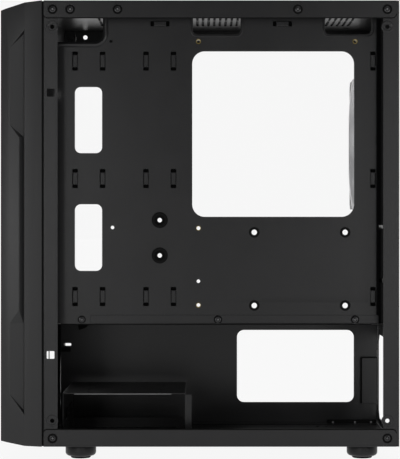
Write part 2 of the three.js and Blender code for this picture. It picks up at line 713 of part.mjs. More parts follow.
function fanFrame() {
  const half = FAN.screws / 2;
  const holes = [-half, half].flatMap((dy) => {
    return [-half, half].map((dz) => circle(FAN.y + dy, FAN.z + dz, 2.2, 8));
  });
  const face = FAN_FACE + RING.proud;
  const bore = circle(FAN.y, FAN.z, FAN.bore, 32);
  const body = plate("YZ", squareOutline(FAN.size, 5), face, FAN_BACK - face, [bore, ...holes]);
  const seat = disc(0, RING.outer + GAP, -1, RING.thickness + GAP, "X", [FAN_FACE, FAN.y, FAN.z], 32);
  const centre = [FAN_BACK, FAN.y, FAN.z];
  const motor = disc(0, FAN.hub, -FAN.strut, 0, "X", centre, 20);
  const struts = [0, 1, 2, 3].map((i) => {
    const [from, to, breadth] = [FAN.hub - 4, FAN.bore + 2, 5];
    const geometry = new THREE.BoxGeometry(FAN.strut, to - from, breadth);
    geometry.translate(-FAN.strut / 2, (from + to) / 2, 0);
    geometry.rotateX((i * Math.PI) / 2 + Math.PI / 4);
    geometry.translate(...centre);
    return toSolid(geometry);
  });
  return fuse(cut(body, seat), motor, struts);
}

// Frosted ring on the fan's inner face, trimmed to the frame's four sides.
function fanLightRing() {
  const centre = [FAN_FACE, FAN.y, FAN.z];
  const ring = disc(FAN.bore, RING.outer, 0, RING.thickness, "X", centre, 48);
  const half = FAN.size / 2 - GAP;
  const y = [FAN.y - half, FAN.y + half];
  const z = [FAN.z - half, FAN.z + half];
  return ring.intersect(box([FAN_FACE - 1, FAN_FACE + RING.thickness + 1], y, z));
}

// One swept blade, as thin sections from the cup to the tip.
function blade(turn) {
  const steps = 4;
  const root = ROTOR.cup - 1;
  const rings = Array.from({ length: steps + 1 }, (_, i) => {
    const radius = root + ((ROTOR.tip - root) * i) / steps;
    const lean = ROTOR.lean + (ROTOR.twist * i) / steps;
    const middle = turn + (ROTOR.sweep * i) / steps;
    return bladeSection(radius, lean, middle);
  });
  return loft(rings);
}

function bladeSection(radius, lean, middle) {
  const half = ROTOR.chord / 2;
  const thick = ROTOR.thickness / 2;
  const corners = [[-half, -thick], [half, -thick], [half, thick], [-half, thick]];
  return corners.map(([along, out]) => {
    const x = ROTOR.middle + along * Math.cos(lean) * ROTOR.flatten - out * Math.sin(lean);
    const arc = along * Math.sin(lean) + out * Math.cos(lean);
    const angle = middle + arc / radius;
    return [x, FAN.y + radius * Math.cos(angle), FAN.z + radius * Math.sin(angle)];
  });
}

function fanRotor() {
  const cupClearance = 1.4;
  const cupFace = 3;
  const cupEnd = FAN.thickness - FAN.strut - cupClearance;
  const inner = ROTOR.cup - ROTOR.wall;
  const profile = [
    [0, cupFace], [ROTOR.cup, cupFace], [ROTOR.cup, cupEnd], [inner, cupEnd],
    [inner, cupFace + ROTOR.wall], [0, cupFace + ROTOR.wall],
  ];
  const cup = turned(profile, "X", [FAN_FACE, FAN.y, FAN.z], 28);
  const turns = Array.from({ length: ROTOR.blades }, (_, i) => (i * 2 * Math.PI) / ROTOR.blades);
  return fuse(cup, turns.map(blade));
}

const SHAFT = { radius: 1.5, start: 5.3, end: 19 };
const BEARING = { radius: 4, clearance: 0.4, start: 7.5 };

function fanShaft() {
  return disc(0, SHAFT.radius, SHAFT.start, SHAFT.end, "X", [FAN_FACE, FAN.y, FAN.z], 12);
}

function fanBearing() {
  const bore = SHAFT.radius + BEARING.clearance;
  const end = FAN.thickness - FAN.strut - GAP;
  return disc(bore, BEARING.radius, BEARING.start, end, "X", [FAN_FACE, FAN.y, FAN.z], 16);
}

// ---------------------------------------------------------------- rear slot covers

const COVER = { y: [-77, 21], tab: 11 };
const SCREW_RAIL = { depth: 13, flange: 8 };

function slotCover(z) {
  const height = [z - SLOT.cover / 2, z + SLOT.cover / 2];
  return fuse(
    box([FLOOR_END - SHEET, FLOOR_END], COVER.y, height),
    box([FLOOR_END - COVER.tab, FLOOR_END], [COVER.y[1] - SHEET, COVER.y[1]], height),
  );
}

// Angle that the slot covers' tabs are screwed to.
function slotScrewRail() {
  const z = [slotHeights[0] - SLOT.cover / 2, slotHeights.at(-1) + SLOT.cover / 2];
  const y = COVER.y[1] + GAP;
  return fuse(
    box([FLOOR_END - SCREW_RAIL.depth, FLOOR_END], [y, y + SHEET], z),
    box([FLOOR_END - SHEET, FLOOR_END], [y, y + SCREW_RAIL.flange], z),
  );
}

// ---------------------------------------------------------------- filters, feet, fasteners

const TOP_FILTER = { x: [-98, 148], y: [-22, 72], thickness: 1.2 };

function topDustFilter() {
  const low = TOP + GAP;
  return plate("XY", rectangle(TOP_FILTER.x, TOP_FILTER.y, 4), low, TOP_FILTER.thickness);
}

function psuDustFilter() {
  const z = [FILTER_TOP - FILTER.thickness, FILTER_TOP];
  const middle = (FILTER.x[0] + FILTER.x[1]) / 2;
  const [y0] = FILTER.y;
  const grip = box([middle - FILTER.grip, middle + FILTER.grip], [y0 - FILTER.tab, y0 + 1], z);
  return fuse(box(FILTER.x, FILTER.y, z), grip);
}

const PAD = { radius: 8.4, thickness: 1.5 };

function foot(x, y) {
  const low = PAD.thickness + GAP;
  const high = BOTTOM - GAP;
  const { radius, chamfer } = FOOT;
  const profile = [[0, low], [radius - chamfer, low], [radius, low + chamfer], [radius, high], [0, high]];
  return turned(profile, "Z", [x, y, 0], 20);
}

function footPad(x, y) {
  return disc(0, PAD.radius, 0, PAD.thickness, "Z", [x, y, 0], 16);
}

// Brass standoff on the window face of the tray, threaded right through.
function standoff(x, z) {
  const low = TRAY.y + SHEET + GAP;
  const { bore, radius, height } = STANDOFF;
  return disc(bore, radius, low, low + height, "Y", [x, 0, z], 12);
}

// Rubber grommet, held by a groove round its neck.
function grommet(z) {
  const { outer, neck, hole, lip } = GROMMET;
  const low = -lip;
  const high = SHEET + lip;
  const profile = [
    [hole, low], [outer, low], [outer, -GAP], [neck, -GAP],
    [neck, SHEET + GAP], [outer, SHEET + GAP], [outer, high], [hole, high], [hole, low],
  ];
  return turned(profile, "Y", [GROMMET.x, TRAY.y, z], 12);
}

// Screw whose shank points into the case from its head at y.
function screw(side, x, y, z, { head, length }) {
  const rim = [[HEAD_RADIUS, 0], [HEAD_RADIUS, head]];
  const shank = [[SHANK_RADIUS, head], [SHANK_RADIUS, length]];
  const profile = [[0, 0], ...rim, ...shank, [0, length]].map(([r, h]) => [r, -side * h]);
  return turned(profile, "Y", [x, y, z], 10);
}

// ---------------------------------------------------------------- assembly

add("bottom_panel", "steel", bottomPanel());
add("top_panel", "steel", topPanel());
add("front_panel", "steel", frontPanel());
add("rear_panel", "steel", rearPanel());
add("motherboard_tray", "steel", motherboardTray());
add("psu_shroud", "steel", psuShroud());
add("drive_cage", "steel", driveCage());

add("front_bezel", "bezel", frontBezel());
add("io_housing", "plastic", ioHousing());
add("power_button", "plastic", button(POWER));
add("reset_button", "plastic", button(RESET));
USB.rows.forEach((y, i) => add(`usb_port_${i + 1}`, "bright", usbPort(y)));
["headphone_jack", "microphone_jack"].forEach((name, i) => add(name, "gloss", jack(JACKS.rows[i])));
add(
  "power_led",
  "frosted",
  disc(0, LED.radius, GAP - BUTTON_HEIGHT, 0, "Z", [IO_MIDDLE, LED.y, IO_HOUSING.z[1]], 10),
);
add(
  "io_board",
  "board",
  box(IO_HOUSING.x, IO_HOUSING.y, [IO_HOUSING.z[0] - GAP - BOARD_THICKNESS, IO_HOUSING.z[0] - GAP]),
);

add("fan_frame", "plastic", fanFrame());
add("fan_light_ring", "frosted", fanLightRing());
add("fan_rotor", "frosted", fanRotor());
add("fan_shaft", "bright", fanShaft());
add("fan_bearing", "brass", fanBearing());

slotHeights.forEach((z, i) => add(`slot_cover_${i + 1}`, "steel", slotCover(z)));
add("slot_screw_rail", "steel", slotScrewRail());

add("top_dust_filter", "mesh", topDustFilter());
add("psu_dust_filter", "mesh", psuDustFilter());

for (const [end, x] of [["front", FOOT.x[0]], ["rear", FOOT.x[1]]]) {
  for (const [side, y] of [["near", -FOOT.y], ["far", FOOT.y]]) {
    add(`foot_${end}_${side}`, "gloss", foot(x, y));
    add(`foot_pad_${end}_${side}`, "rubber", footPad(x, y));
  }
}

STANDOFF.places.forEach((place, i) => add(`standoff_${i + 1}`, "brass", standoff(...boardHole(place))));
GROMMET.rows.forEach((z, i) => add(`cable_grommet_${i + 1}`, "rubber", grommet(z)));

const RAIL_SCREW = { head: 0.6, length: 3 };
const TRAY_SCREW = { head: 1.8, length: 6 };
const RAIL_HEAD_Y = FLANGE.y + GAP + RAIL_SCREW.head;
for (const [row, { near, far, z }] of Object.entries(RAIL_SCREWS)) {
  near.forEach((x, i) => {
    add(`rail_screw_${row}_${i + 1}`, "screw", screw(-1, x, -RAIL_HEAD_Y, z, RAIL_SCREW));
  });
  far.forEach((x, i) => {
    add(`rail_screw_${row}_far_${i + 1}`, "screw", screw(1, x, RAIL_HEAD_Y, z, RAIL_SCREW));
  });
}
TRAY_SCREWS.x.forEach((x, i) => {
  const y = TRAY.y - GAP - TRAY_SCREW.head;
  add(`tray_screw_${i + 1}`, "screw", screw(-1, x, y, TRAY_SCREWS.z, TRAY_SCREW));
});

export default tower;
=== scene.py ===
"""Looks of an empty micro-ATX computer tower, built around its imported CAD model.

Feature sizes are in millimetres, in the frame of the CAD model: +X is the rear, -Y the open cable side and
+Z up. "Near" means the -Y side, and "far" the +Y side.
"""
import json
import math

import bmesh
import bpy
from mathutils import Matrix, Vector
from mathutils.geometry import tessellate_polygon

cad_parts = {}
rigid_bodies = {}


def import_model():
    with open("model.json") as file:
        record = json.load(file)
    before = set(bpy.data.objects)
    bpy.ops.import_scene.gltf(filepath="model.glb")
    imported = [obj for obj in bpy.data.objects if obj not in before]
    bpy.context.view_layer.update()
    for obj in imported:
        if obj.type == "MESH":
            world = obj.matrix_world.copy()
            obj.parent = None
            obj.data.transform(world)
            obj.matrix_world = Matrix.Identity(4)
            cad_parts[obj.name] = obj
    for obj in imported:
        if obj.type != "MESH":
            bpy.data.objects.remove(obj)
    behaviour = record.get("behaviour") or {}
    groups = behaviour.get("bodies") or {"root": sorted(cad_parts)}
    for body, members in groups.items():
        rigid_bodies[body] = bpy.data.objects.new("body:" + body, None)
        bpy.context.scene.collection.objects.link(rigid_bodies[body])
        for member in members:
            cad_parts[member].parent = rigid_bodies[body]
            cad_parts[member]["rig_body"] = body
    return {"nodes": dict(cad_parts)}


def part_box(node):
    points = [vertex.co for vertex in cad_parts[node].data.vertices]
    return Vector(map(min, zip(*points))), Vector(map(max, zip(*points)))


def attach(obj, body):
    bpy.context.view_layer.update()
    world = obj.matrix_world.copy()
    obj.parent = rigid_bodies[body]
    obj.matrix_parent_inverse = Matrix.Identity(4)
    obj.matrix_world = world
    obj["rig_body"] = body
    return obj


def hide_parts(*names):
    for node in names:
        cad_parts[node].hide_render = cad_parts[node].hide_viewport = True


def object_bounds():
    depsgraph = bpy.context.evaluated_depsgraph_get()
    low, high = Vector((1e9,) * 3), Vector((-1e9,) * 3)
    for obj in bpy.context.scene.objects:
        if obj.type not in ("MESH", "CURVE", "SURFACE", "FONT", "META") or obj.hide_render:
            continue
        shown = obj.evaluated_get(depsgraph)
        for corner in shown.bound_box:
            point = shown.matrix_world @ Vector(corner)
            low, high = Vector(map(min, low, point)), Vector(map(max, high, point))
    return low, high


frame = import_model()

CAD_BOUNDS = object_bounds()
MM = 0.001


# ------------------------------------------------------------------ places taken from the frame


def span(node):
    """A node's lowest and highest corners, in millimetres."""
    low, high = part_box(node)
    return low / MM, high / MM


def middle(node):
    """The middle of a node's box, in millimetres."""
    low, high = span(node)
    return (low + high) / 2


CASE_LOW = CAD_BOUNDS[0] / MM
TOP_LOW, TOP_HIGH = span("top_panel")
FLOOR_LOW, FLOOR_HIGH = span("bottom_panel")
FRONT_HIGH = span("front_panel")[1]
REAR_HIGH = span("rear_panel")[1]
TRAY_LOW, TRAY_HIGH = span("motherboard_tray")
SHROUD_LOW, SHROUD_HIGH = span("psu_shroud")
CAGE_LOW, CAGE_HIGH = span("drive_cage")
BEZEL_HIGH = span("front_bezel")[1]
FAN_LOW, FAN_HIGH = span("fan_frame")
TOP_FILTER_LOW, TOP_FILTER_HIGH = span("top_dust_filter")
PSU_FILTER_LOW, PSU_FILTER_HIGH = span("psu_dust_filter")

SHEET = 0.8
SIDE = TOP_HIGH.y
FLOOR = span("foot_front_near")[1].z + 0.3
TOP = TOP_HIGH.z
STEEL_FRONT = TOP_LOW.x
REAR = REAR_HIGH.x
FLANGE_Y = FRONT_HIGH.y


# ------------------------------------------------------------------ outlines, as lists of (u, v)


def arc(u, v, radius, start, end, steps):
    turn = [math.radians(start + (end - start) * i / steps) for i in range(steps + 1)]
    return [(u + radius * math.cos(a), v + radius * math.sin(a)) for a in turn]


def rectangle(u0, u1, v0, v1, radius=0.0, steps=6):
    if radius <= 0:
        return [(u0, v0), (u1, v0), (u1, v1), (u0, v1)]
    r = radius
    return (
        arc(u1 - r, v0 + r, r, -90, 0, steps)
        + arc(u1 - r, v1 - r, r, 0, 90, steps)
        + arc(u0 + r, v1 - r, r, 90, 180, steps)
        + arc(u0 + r, v0 + r, r, 180, 270, steps)
    )


def circle(u, v, radius, steps=20):
    return arc(u, v, radius, 0, 360, steps)[:-1]


def centred(u, v, width, height, radius=0.0, steps=3):
    return rectangle(u - width / 2, u + width / 2, v - height / 2, v + height / 2, radius, steps)


def signed_area(loop):
    pairs = zip(loop, loop[1:] + loop[:1])
    return sum(a[0] * b[1] - b[0] * a[1] for a, b in pairs) / 2


def wound(loop, sign):
    """The loop, turned so that its signed area has this sign."""
    return loop if signed_area(loop) * sign > 0 else loop[::-1]


def offset(loop, distance, closed=True):
    """The loop moved to its left by a distance."""
    count = len(loop)
    moved = []
    for i, point in enumerate(loop):
        before = loop[i - 1] if closed or i > 0 else point
        after = loop[(i + 1) % count] if closed or i < count - 1 else point
        ways = [Vector((b[0] - a[0], b[1] - a[1])) for a, b in ((before, point), (point, after))]
        normals = [Vector((-way.y, way.x)).normalized() for way in ways if way.length > 1e-6]
        total = normals[0] + normals[-1]
        scale = distance / max(1 + normals[0].dot(normals[-1]), 0.2)
        moved.append((point[0] + total.x * scale, point[1] + total.y * scale))
    return moved


# ------------------------------------------------------------------ mesh building

PLANES = {
    "XY": lambda u, v, n: (u, v, n),
    "XZ": lambda u, v, n: (u, n, v),
    "YZ": lambda u, v, n: (n, u, v),
}
AXES = {
    "X": lambda r, a, h: (h, r * math.cos(a), r * math.sin(a)),
    "Y": lambda r, a, h: (r * math.cos(a), h, r * math.sin(a)),
    "Z": lambda r, a, h: (r * math.cos(a), r * math.sin(a), h),
}
SOFT_EDGE = 0.14


class Piece:
    """Shells of one visible piece, gathered in millimetres and made into an object by done()."""

    def __init__(self):
        self.bm = bmesh.new()

    def shell(self, verts, faces):
        made = [self.bm.verts.new(v) for v in verts]
        for face in faces:
            self.bm.faces.new([made[i] for i in face])
        return self

    def plate(self, plane, outline, holes, start, thickness, edge=SOFT_EDGE):
        """A flat sheet with holes and slightly broken edges, square to one axis."""
        loops = [wound(outline, 1)] + [wound(hole, -1) for hole in holes]
        inner = [offset(loop, edge) for loop in loops]
        end = start + thickness
        levels = ((start, inner), (start + edge, loops), (end - edge, loops), (end, inner))
        place = PLANES[plane]
        verts = [place(u, v, n) for n, level in levels for loop in level for u, v in loop]
        count = sum(len(loop) for loop in loops)
        caps = tessellate_polygon([[Vector((u, v, 0)) for u, v in loop] for loop in inner])
        faces = [tuple(cap) for cap in caps]
        faces += [tuple(i + 3 * count for i in cap) for cap in caps]
        first = 0
        for loop in loops:
            for level in range(3):
                base = first + level * count
                for i in range(len(loop)):
                    j = (i + 1) % len(loop)
                    faces.append((base + i, base + j, base + count + j, base + count + i))
            first += len(loop)
        return self.shell(verts, faces)

    def block(self, x, y, z, edge=SOFT_EDGE):
        """A box with broken edges, from its ranges along X, Y and Z."""
        return self.plate("XY", rectangle(*x, *y, edge, 1), [], z[0], z[1] - z[0], edge)

    def lathe(self, profile, axis, centre, steps=32, closed=False):
        """A turned shape from (radius, height) pairs about an axis through centre."""
        place = AXES[axis]
        verts, rings = [], []
        for radius, height in profile:
            ring = []
            for i in range(1 if radius < 1e-6 else steps):
                ring.append(len(verts))
                point = Vector(place(radius, 2 * math.pi * i / steps, height))
                verts.append(point + Vector(centre))
            rings.append(ring)
        pairs = list(zip(rings, rings[1:] + rings[:1]))
        faces = []
        for a, b in pairs if closed else pairs[:-1]:
            for i in range(steps):
                j = (i + 1) % steps
                corners = [a[i % len(a)], a[j % len(a)], b[j % len(b)], b[i % len(b)]]
                corners = list(dict.fromkeys(corners))
                if len(corners) > 2:
                    faces.append(corners)
        return self.shell(verts, faces)

    def sweep(self, plane, path, profile, at, closed=True):
        """A moulding that follows a path in a plane; profile is (sideways, outwards) pairs."""
        place = PLANES[plane]
        rows = [(offset(path, side, closed), at + out) for side, out in profile]
        verts = [place(u, v, n) for row, n in rows for u, v in row]
        count, size = len(path), len(profile)
        faces = []
        for r in range(size):
            a, b = r * count, ((r + 1) % size) * count
            for i in range(count if closed else count - 1):
                j = (i + 1) % count
                faces.append((a + i, a + j, b + j, b + i))
        if not closed:
            faces += [[r * count + end for r in range(size)] for end in (0, count - 1)]
        return self.shell(verts, faces)

    def bent(self, plane, path, thickness, start, end):
        """A strip of sheet seen end-on as a path, drawn out along the plane's normal."""
        back = offset(path, thickness, closed=False)[::-1]
        return self.plate(plane, path + back, [], start, end - start)

    def done(self, name, look, body="chassis", replaces=(), smooth=32):
        bmesh.ops.recalc_face_normals(self.bm, faces=self.bm.faces)
        bmesh.ops.scale(self.bm, vec=(MM, MM, MM), verts=self.bm.verts)
        return finish_piece(self.bm, name, look, body, replaces, smooth)


def finish_piece(bm, name, look, body, replaces, smooth):
    mesh = bpy.data.meshes.new(name)
    bm.to_mesh(mesh)
    bm.free()
    mesh.polygons.foreach_set("use_smooth", [True] * len(mesh.polygons))
    mesh.set_sharp_from_angle(angle=math.radians(smooth))
    obj = bpy.data.objects.new(name, mesh)
    bpy.context.scene.collection.objects.link(obj)
    mesh.materials.append(LOOKS[look])
    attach(obj, body)
    if replaces:
        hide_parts(*replaces)
    return obj


def softened(node, look, width, segments=2, angle=28, name=None):
    """A CAD node's own shape with rounded edges, standing in for it."""
    bm = bmesh.new()
    bm.from_mesh(frame["nodes"][node].data)
    bmesh.ops.remove_doubles(bm, verts=bm.verts, dist=1e-6)
    bmesh.ops.dissolve_limit(bm, angle_limit=math.radians(1), verts=bm.verts, edges=bm.edges)
    sharp = [e for e in bm.edges if len(e.link_faces) == 2 and e.calc_face_angle() > math.radians(angle)]
    bmesh.ops.bevel(
        bm, geom=sharp, offset=width * MM, segments=segments, profile=0.6, affect="EDGES", clamp_overlap=True
    )
    body = frame["nodes"][node]["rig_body"]
    return finish_piece(bm, name or f"{node}_shape", look, body, (node,), 40)


# ------------------------------------------------------------------ materials

LOOKS = {}
SLOTS = {}
SHEEN = 0.035


def look(
    key, slot, colour, roughness, metallic=0.0, specular=0.5, grain=900, bump=0.1, depth=0.1, mottle=0.12
):
    """A node material: fine grain in relief, slow mottling of its colour and of its roughness."""
    material = bpy.data.materials.new(key)
    material.use_nodes = True
    nodes, links = material.node_tree.nodes, material.node_tree.links
    shader = nodes["Principled BSDF"]
    shader.inputs["Metallic"].default_value = metallic
    shader.inputs["Specular IOR Level"].default_value = specular
    place = nodes.new("ShaderNodeTexCoord")

    def noise(scale, detail):
        node = nodes.new("ShaderNodeTexNoise")
        node.inputs["Scale"].default_value = scale
        node.inputs["Detail"].default_value = detail
        links.new(place.outputs["Object"], node.inputs["Vector"])
        return node.outputs["Fac"]

    fine = noise(grain, 2)
    slow = noise(40, 4)
    tone = nodes.new("ShaderNodeMix")
    tone.data_type = "RGBA"
    tone.inputs[6].default_value = (*[c * (1 - mottle) for c in colour], 1)
    tone.inputs[7].default_value = (*[c * (1 + mottle) for c in colour], 1)
    blend = nodes.new("ShaderNodeMath")
    blend.operation = "MULTIPLY_ADD"
    blend.inputs[1].default_value = 0.6
    links.new(fine, blend.inputs[0])
    halved = nodes.new("ShaderNodeMath")
    halved.operation = "MULTIPLY"
    halved.inputs[1].default_value = 0.4
    links.new(slow, halved.inputs[0])
    links.new(halved.outputs[0], blend.inputs[2])
    links.new(blend.outputs[0], tone.inputs[0])
    links.new(tone.outputs[2], shader.inputs["Base Color"])

    sheen = nodes.new("ShaderNodeMapRange")
    sheen.inputs["To Min"].default_value = max(roughness - SHEEN, 0.02)
    sheen.inputs["To Max"].default_value = roughness + SHEEN
    links.new(slow, sheen.inputs["Value"])
    links.new(sheen.outputs[0], shader.inputs["Roughness"])

    relief = nodes.new("ShaderNodeBump")
    relief.inputs["Strength"].default_value = bump
    relief.inputs["Distance"].default_value = depth * MM
    links.new(fine, relief.inputs["Height"])
    links.new(relief.outputs[0], shader.inputs["Normal"])
    LOOKS[key], SLOTS[key] = material, slot
    return material


BLACK = (0.011, 0.011, 0.0115)
look("powder_coat", "black_steel", BLACK, 0.29, specular=0.3, grain=1300, bump=0.5, depth=0.12, mottle=0.35)
BEZEL_BLACK = (0.013, 0.013, 0.0135)
look("moulded", "bezel_plastic", BEZEL_BLACK, 0.45, specular=0.35, grain=2400, bump=0.25, depth=0.05)
look("satin_black", "black_plastic", (0.008, 0.008, 0.0085), 0.4, grain=2200, bump=0.2, depth=0.04)
look("gloss_black", "gloss_black", (0.006, 0.006, 0.0065), 0.42, specular=0.3, grain=1500, bump=0.05)
# The rubber look is real rubber on grommets, foot pads and the rest strip, and painted shade on the black
# strips, cups, disks and rings set where only shade falls.
look("rubber", "black_rubber", (0.004, 0.004, 0.004), 0.8, specular=0.1, grain=1500, bump=0.3)
look("frosted", "frosted_plastic", (0.85, 0.85, 0.86), 0.5, grain=1800, bump=0.2, mottle=0.04)
look("clear", "clear_lens", (0.6, 0.62, 0.65), 0.15, grain=600, bump=0.02, mottle=0.03)
look("nylon", "filter_mesh", (0.012, 0.012, 0.0125), 0.6, specular=0.3, grain=2600, bump=0.2)
look("board", "circuit_board", (0.018, 0.06, 0.028), 0.35, grain=700, bump=0.05)
look("brass", "brass", (0.2, 0.15, 0.045), 0.45, metallic=1, grain=900, bump=0.06, mottle=0.08)
look("nickel", "bright_steel", (0.55, 0.55, 0.56), 0.25, metallic=1, grain=1200, bump=0.05, mottle=0.05)
# This look is bare steel on rivets and the cage trim, and a painted highlight on the crosses of screw heads.
look("cut_edge_and_highlight", "bright_steel", (0.16, 0.16, 0.165), 0.4, metallic=0.3, grain=1500, bump=0.1)
look("black_oxide", "black_screw", (0.02, 0.02, 0.021), 0.28, metallic=0.4, grain=1600, bump=0.08)


# ------------------------------------------------------------------ shared sheet metal features

RAIL_CORNER = 3.0
RAIL_END = REAR - 2.8
RAIL_HOLE = 4.1
# Cross-section of the black strip that paints the shadow line along a rail's free edge.
SHADOW_LINE_PROFILE = [(-0.8, -0.25), (0.0, -0.25), (0.0, 0.25), (-0.8, 0.25)]
RAIL_SCREWS = sorted(node for node in frame["nodes"] if node.startswith("rail_screw_"))
BARE_HOLE = (-109.3, TOP - 6.7, 2.1)
BEND = 0.4


def fold(piece, plane, corner, ways, start, length):
    """A folded outside corner; ways point from the corner along the two sheets that meet there."""
    (u, v), (du, dv) = corner, ways
    turns = [math.radians(angle) for angle in range(0, 91, 18)]
    rounded = [(u + du * BEND * (1 - math.cos(a)), v + dv * BEND * (1 - math.sin(a))) for a in turns]
    outline = [(u, v + dv * SHEET)] + rounded + [(u + du * SHEET, v), (u + du * SHEET, v + dv * SHEET)]
    piece.plate(plane, outline, [], start, length, 0.02)


def rail(piece, side, row, low, high):
    """One folded rail with rounded free corners; its long bend meets the panel."""
    places = [middle(node) for node in RAIL_SCREWS if f"_{row}_" in node]
    holes = [circle(place.x, place.z, RAIL_HOLE) for place in places if place.y * side > 0]
    r = RAIL_CORNER
    x0, x1 = STEEL_FRONT, RAIL_END
    if row == "top":
        if side > 0:
            holes.append(circle(*BARE_HOLE))
        face = arc(x0 + r, low + r, r, 180, 270, 6) + arc(x1 - r, low + r, r, 270, 360, 6)
        face += [(x1, high - SHEET), (x0, high - SHEET)]
        edge, way = high, -1
    else:
        face = arc(x1 - r, high - r, r, 0, 90, 6) + arc(x0 + r, high - r, r, 90, 180, 6)
        face += [(x0, low + SHEET), (x1, low + SHEET)]
        edge, way = low, 1
    start = -SIDE if side < 0 else SIDE - SHEET
    piece.plate("XZ", face, holes, start, SHEET)
    # A black strip along the rail's free edge is painted shade: the shadow line where the rail meets the
    # flange behind it.
    gap = Piece()
    free_edge = face[:-2]
    gap.sweep("XZ", free_edge, SHADOW_LINE_PROFILE, side * (SIDE - SHEET), closed=False)
    gap.done(f"{row}_rail_shadow_line_{'near' if side < 0 else 'far'}", "rubber")
    fold(piece, "YZ", (side * SIDE, edge), (-side, way), x0, x1 - x0)


def boss(piece, plane, u, v, at, way, radius=4.1):
    """A low ring pressed up round a screw hole."""
    ring = circle(u, v, radius, 28)
    profile = [(-0.9, 0), (-0.45, 0.35 * way), (0.45, 0.35 * way), (0.9, 0)]
    piece.sweep(plane, ring, profile, at)


def rim(piece, plane, loop, at, depth, width=0.7):
    """The turned-back edge round a cut-out."""
    path = wound(loop, 1)
    piece.sweep(plane, path, [(-width, 0), (0.0, 0), (0.0, depth), (-width, depth)], at)


# ------------------------------------------------------------------ floor and top

FLOOR_VENT = (30.0, 118.0, -60.0, 4.0)
TOP_VENT = (-91.6, 141.6, -13.0, 63.0)
VENT_PITCH = 5.2
VENT_WIDTH = 2.2
FAN_PITCH = 105.0
TOP_FAN_HOLES = ((-86.8, 18.2), (33.7, 138.7))
TOP_FAN_ROWS = (-27.5, 77.5)
REST_X = (118, 162)
REST_Y = (46.5, 50.5)
REST_HEIGHT = 4
REST_RIVETS = (123.0, 143.3, 158.0)
REST_RIVET = [(0.0, 46.2), (0.9, 46.2), (1.1, 46.6), (0.0, 46.6)]
FLOOR_SPOTS = ((-7.0, 18.0), (-70.0, 47.0), (145.0, 12.0), (145.0, -40.0))


def vent(x0, x1, y0, y1, rows, gap=4.0):
    """Slots that run along Y, in one or more rows."""
    count = int((x1 - x0 - VENT_WIDTH) / VENT_PITCH) + 1
    length = (y1 - y0 - gap * (rows - 1)) / rows
    slots = []
    for r in range(rows):
        low = y0 + r * (length + gap)
        for i in range(count):
            x = x0 + i * VENT_PITCH
            slots.append(rectangle(x, x + VENT_WIDTH, low, low + length, VENT_WIDTH * 0.45, 2))
    return slots


def panel_outline(end):
    return rectangle(STEEL_FRONT, end, -SIDE + SHEET, SIDE - SHEET)


def floor_panel():
    piece = Piece()
    holes = vent(*FLOOR_VENT, 3)
    holes += [circle(x, y, 1.7, 10) for x, y in FLOOR_SPOTS]
    piece.plate("XY", panel_outline(TOP_HIGH.x), holes, FLOOR, SHEET)
    for side in (-1, 1):
        rail(piece, side, "bottom", FLOOR, FLOOR_HIGH.z)
    gap = 0.3
    for side, edge in ((-1, PSU_FILTER_LOW.x - gap), (1, PSU_FILTER_HIGH.x + gap)):
        low = FLOOR_LOW.z
        web = sorted((edge, edge + side * SHEET))
        lip = sorted((edge + side * SHEET, edge - side * 3))
        y = (PSU_FILTER_LOW.y + 4, PSU_FILTER_HIGH.y)
        piece.block(web, y, (low, FLOOR + 0.2))
        piece.block(lip, y, (low, low + SHEET))
    piece.done("floor_sheet", "powder_coat", replaces=("bottom_panel",))
    rest = Piece()
    base = FLOOR + SHEET
    rest.block(REST_X, REST_Y, (base, base + REST_HEIGHT), 0.5)
    rest.done("psu_rest_strip", "rubber")
    rivets = Piece()
    for x in REST_RIVETS:
        rivets.lathe(REST_RIVET, "Y", (x, 0, base + REST_HEIGHT / 2), 16)
    rivets.done("psu_rest_rivets", "cut_edge_and_highlight")


def top_panel():
    piece = Piece()
    holes = vent(*TOP_VENT, 2)
    for pair in TOP_FAN_HOLES:
        holes += [centred(x, y, 7, 4.6, 2.2) for x in pair for y in TOP_FAN_ROWS]
    piece.plate("XY", panel_outline(TOP_HIGH.x), holes, TOP - SHEET, SHEET)
    for side in (-1, 1):
        rail(piece, side, "top", TOP_LOW.z, TOP)
    piece.done("top_sheet", "powder_coat", replaces=("top_panel",))


# ------------------------------------------------------------------ front and rear frames

PANEL_SCREW_ROWS = (FLOOR + 21.5, TOP - 21.8)
PANEL_SCREW_RADIUS = 1.75
FRONT_SCREW_X = STEEL_FRONT + 7.1
REAR_SCREW_X = REAR - 9.9
LATCH_HOLES = ((STEEL_FRONT + 5.7, 87.9), (STEEL_FRONT + 5.7, 306.0))
LATCH = 6.4
FAR_FLANGE_CUT = 1.6
FAR_LATCH = (STEEL_FRONT + 1.3, STEEL_FRONT + 8.9, 80.0, 91.0)
FLANGE_Z = (FLOOR + SHEET + 0.3, TOP - SHEET - 0.3)
FRONT_FAN_ROWS = (90.0, 215.0)
FRONT_FAN_RADIUS = 57.0
LATCH_WINDOW = (-86.0, -58.0, 77.0, 94.0)
IO_OPENING = (-77.4, -32.95, 198.5, 357.25)
SLOT_HEIGHTS = [middle(f"slot_cover_{i}").z for i in range(1, 5)]
SLOT_OPENING = (-75.0, 17.0, 13.0)
PSU_OPENING = (-94.5, 51.5, 18.6, 95.6, 7.0)


def flange_holes(screw_x, rail_x):
    holes = [circle(screw_x, z, PANEL_SCREW_RADIUS) for z in PANEL_SCREW_ROWS]
    rows = [middle(node).z for node in ("rail_screw_bottom_1", "rail_screw_top_1")]
    return holes + [circle(rail_x, z, 2.1, 12) for z in rows]


def flange(piece, side, x0, x1, z, holes, screw_x):
    """One side flange of an end panel, with a pressed boss at each panel screw."""
    y = -FLANGE_Y if side < 0 else FLANGE_Y - SHEET
    piece.plate("XZ", rectangle(x0, x1, *z), holes, y, SHEET)
    for z in PANEL_SCREW_ROWS:
        boss(piece, "XZ", screw_x, z, side * FLANGE_Y, side)


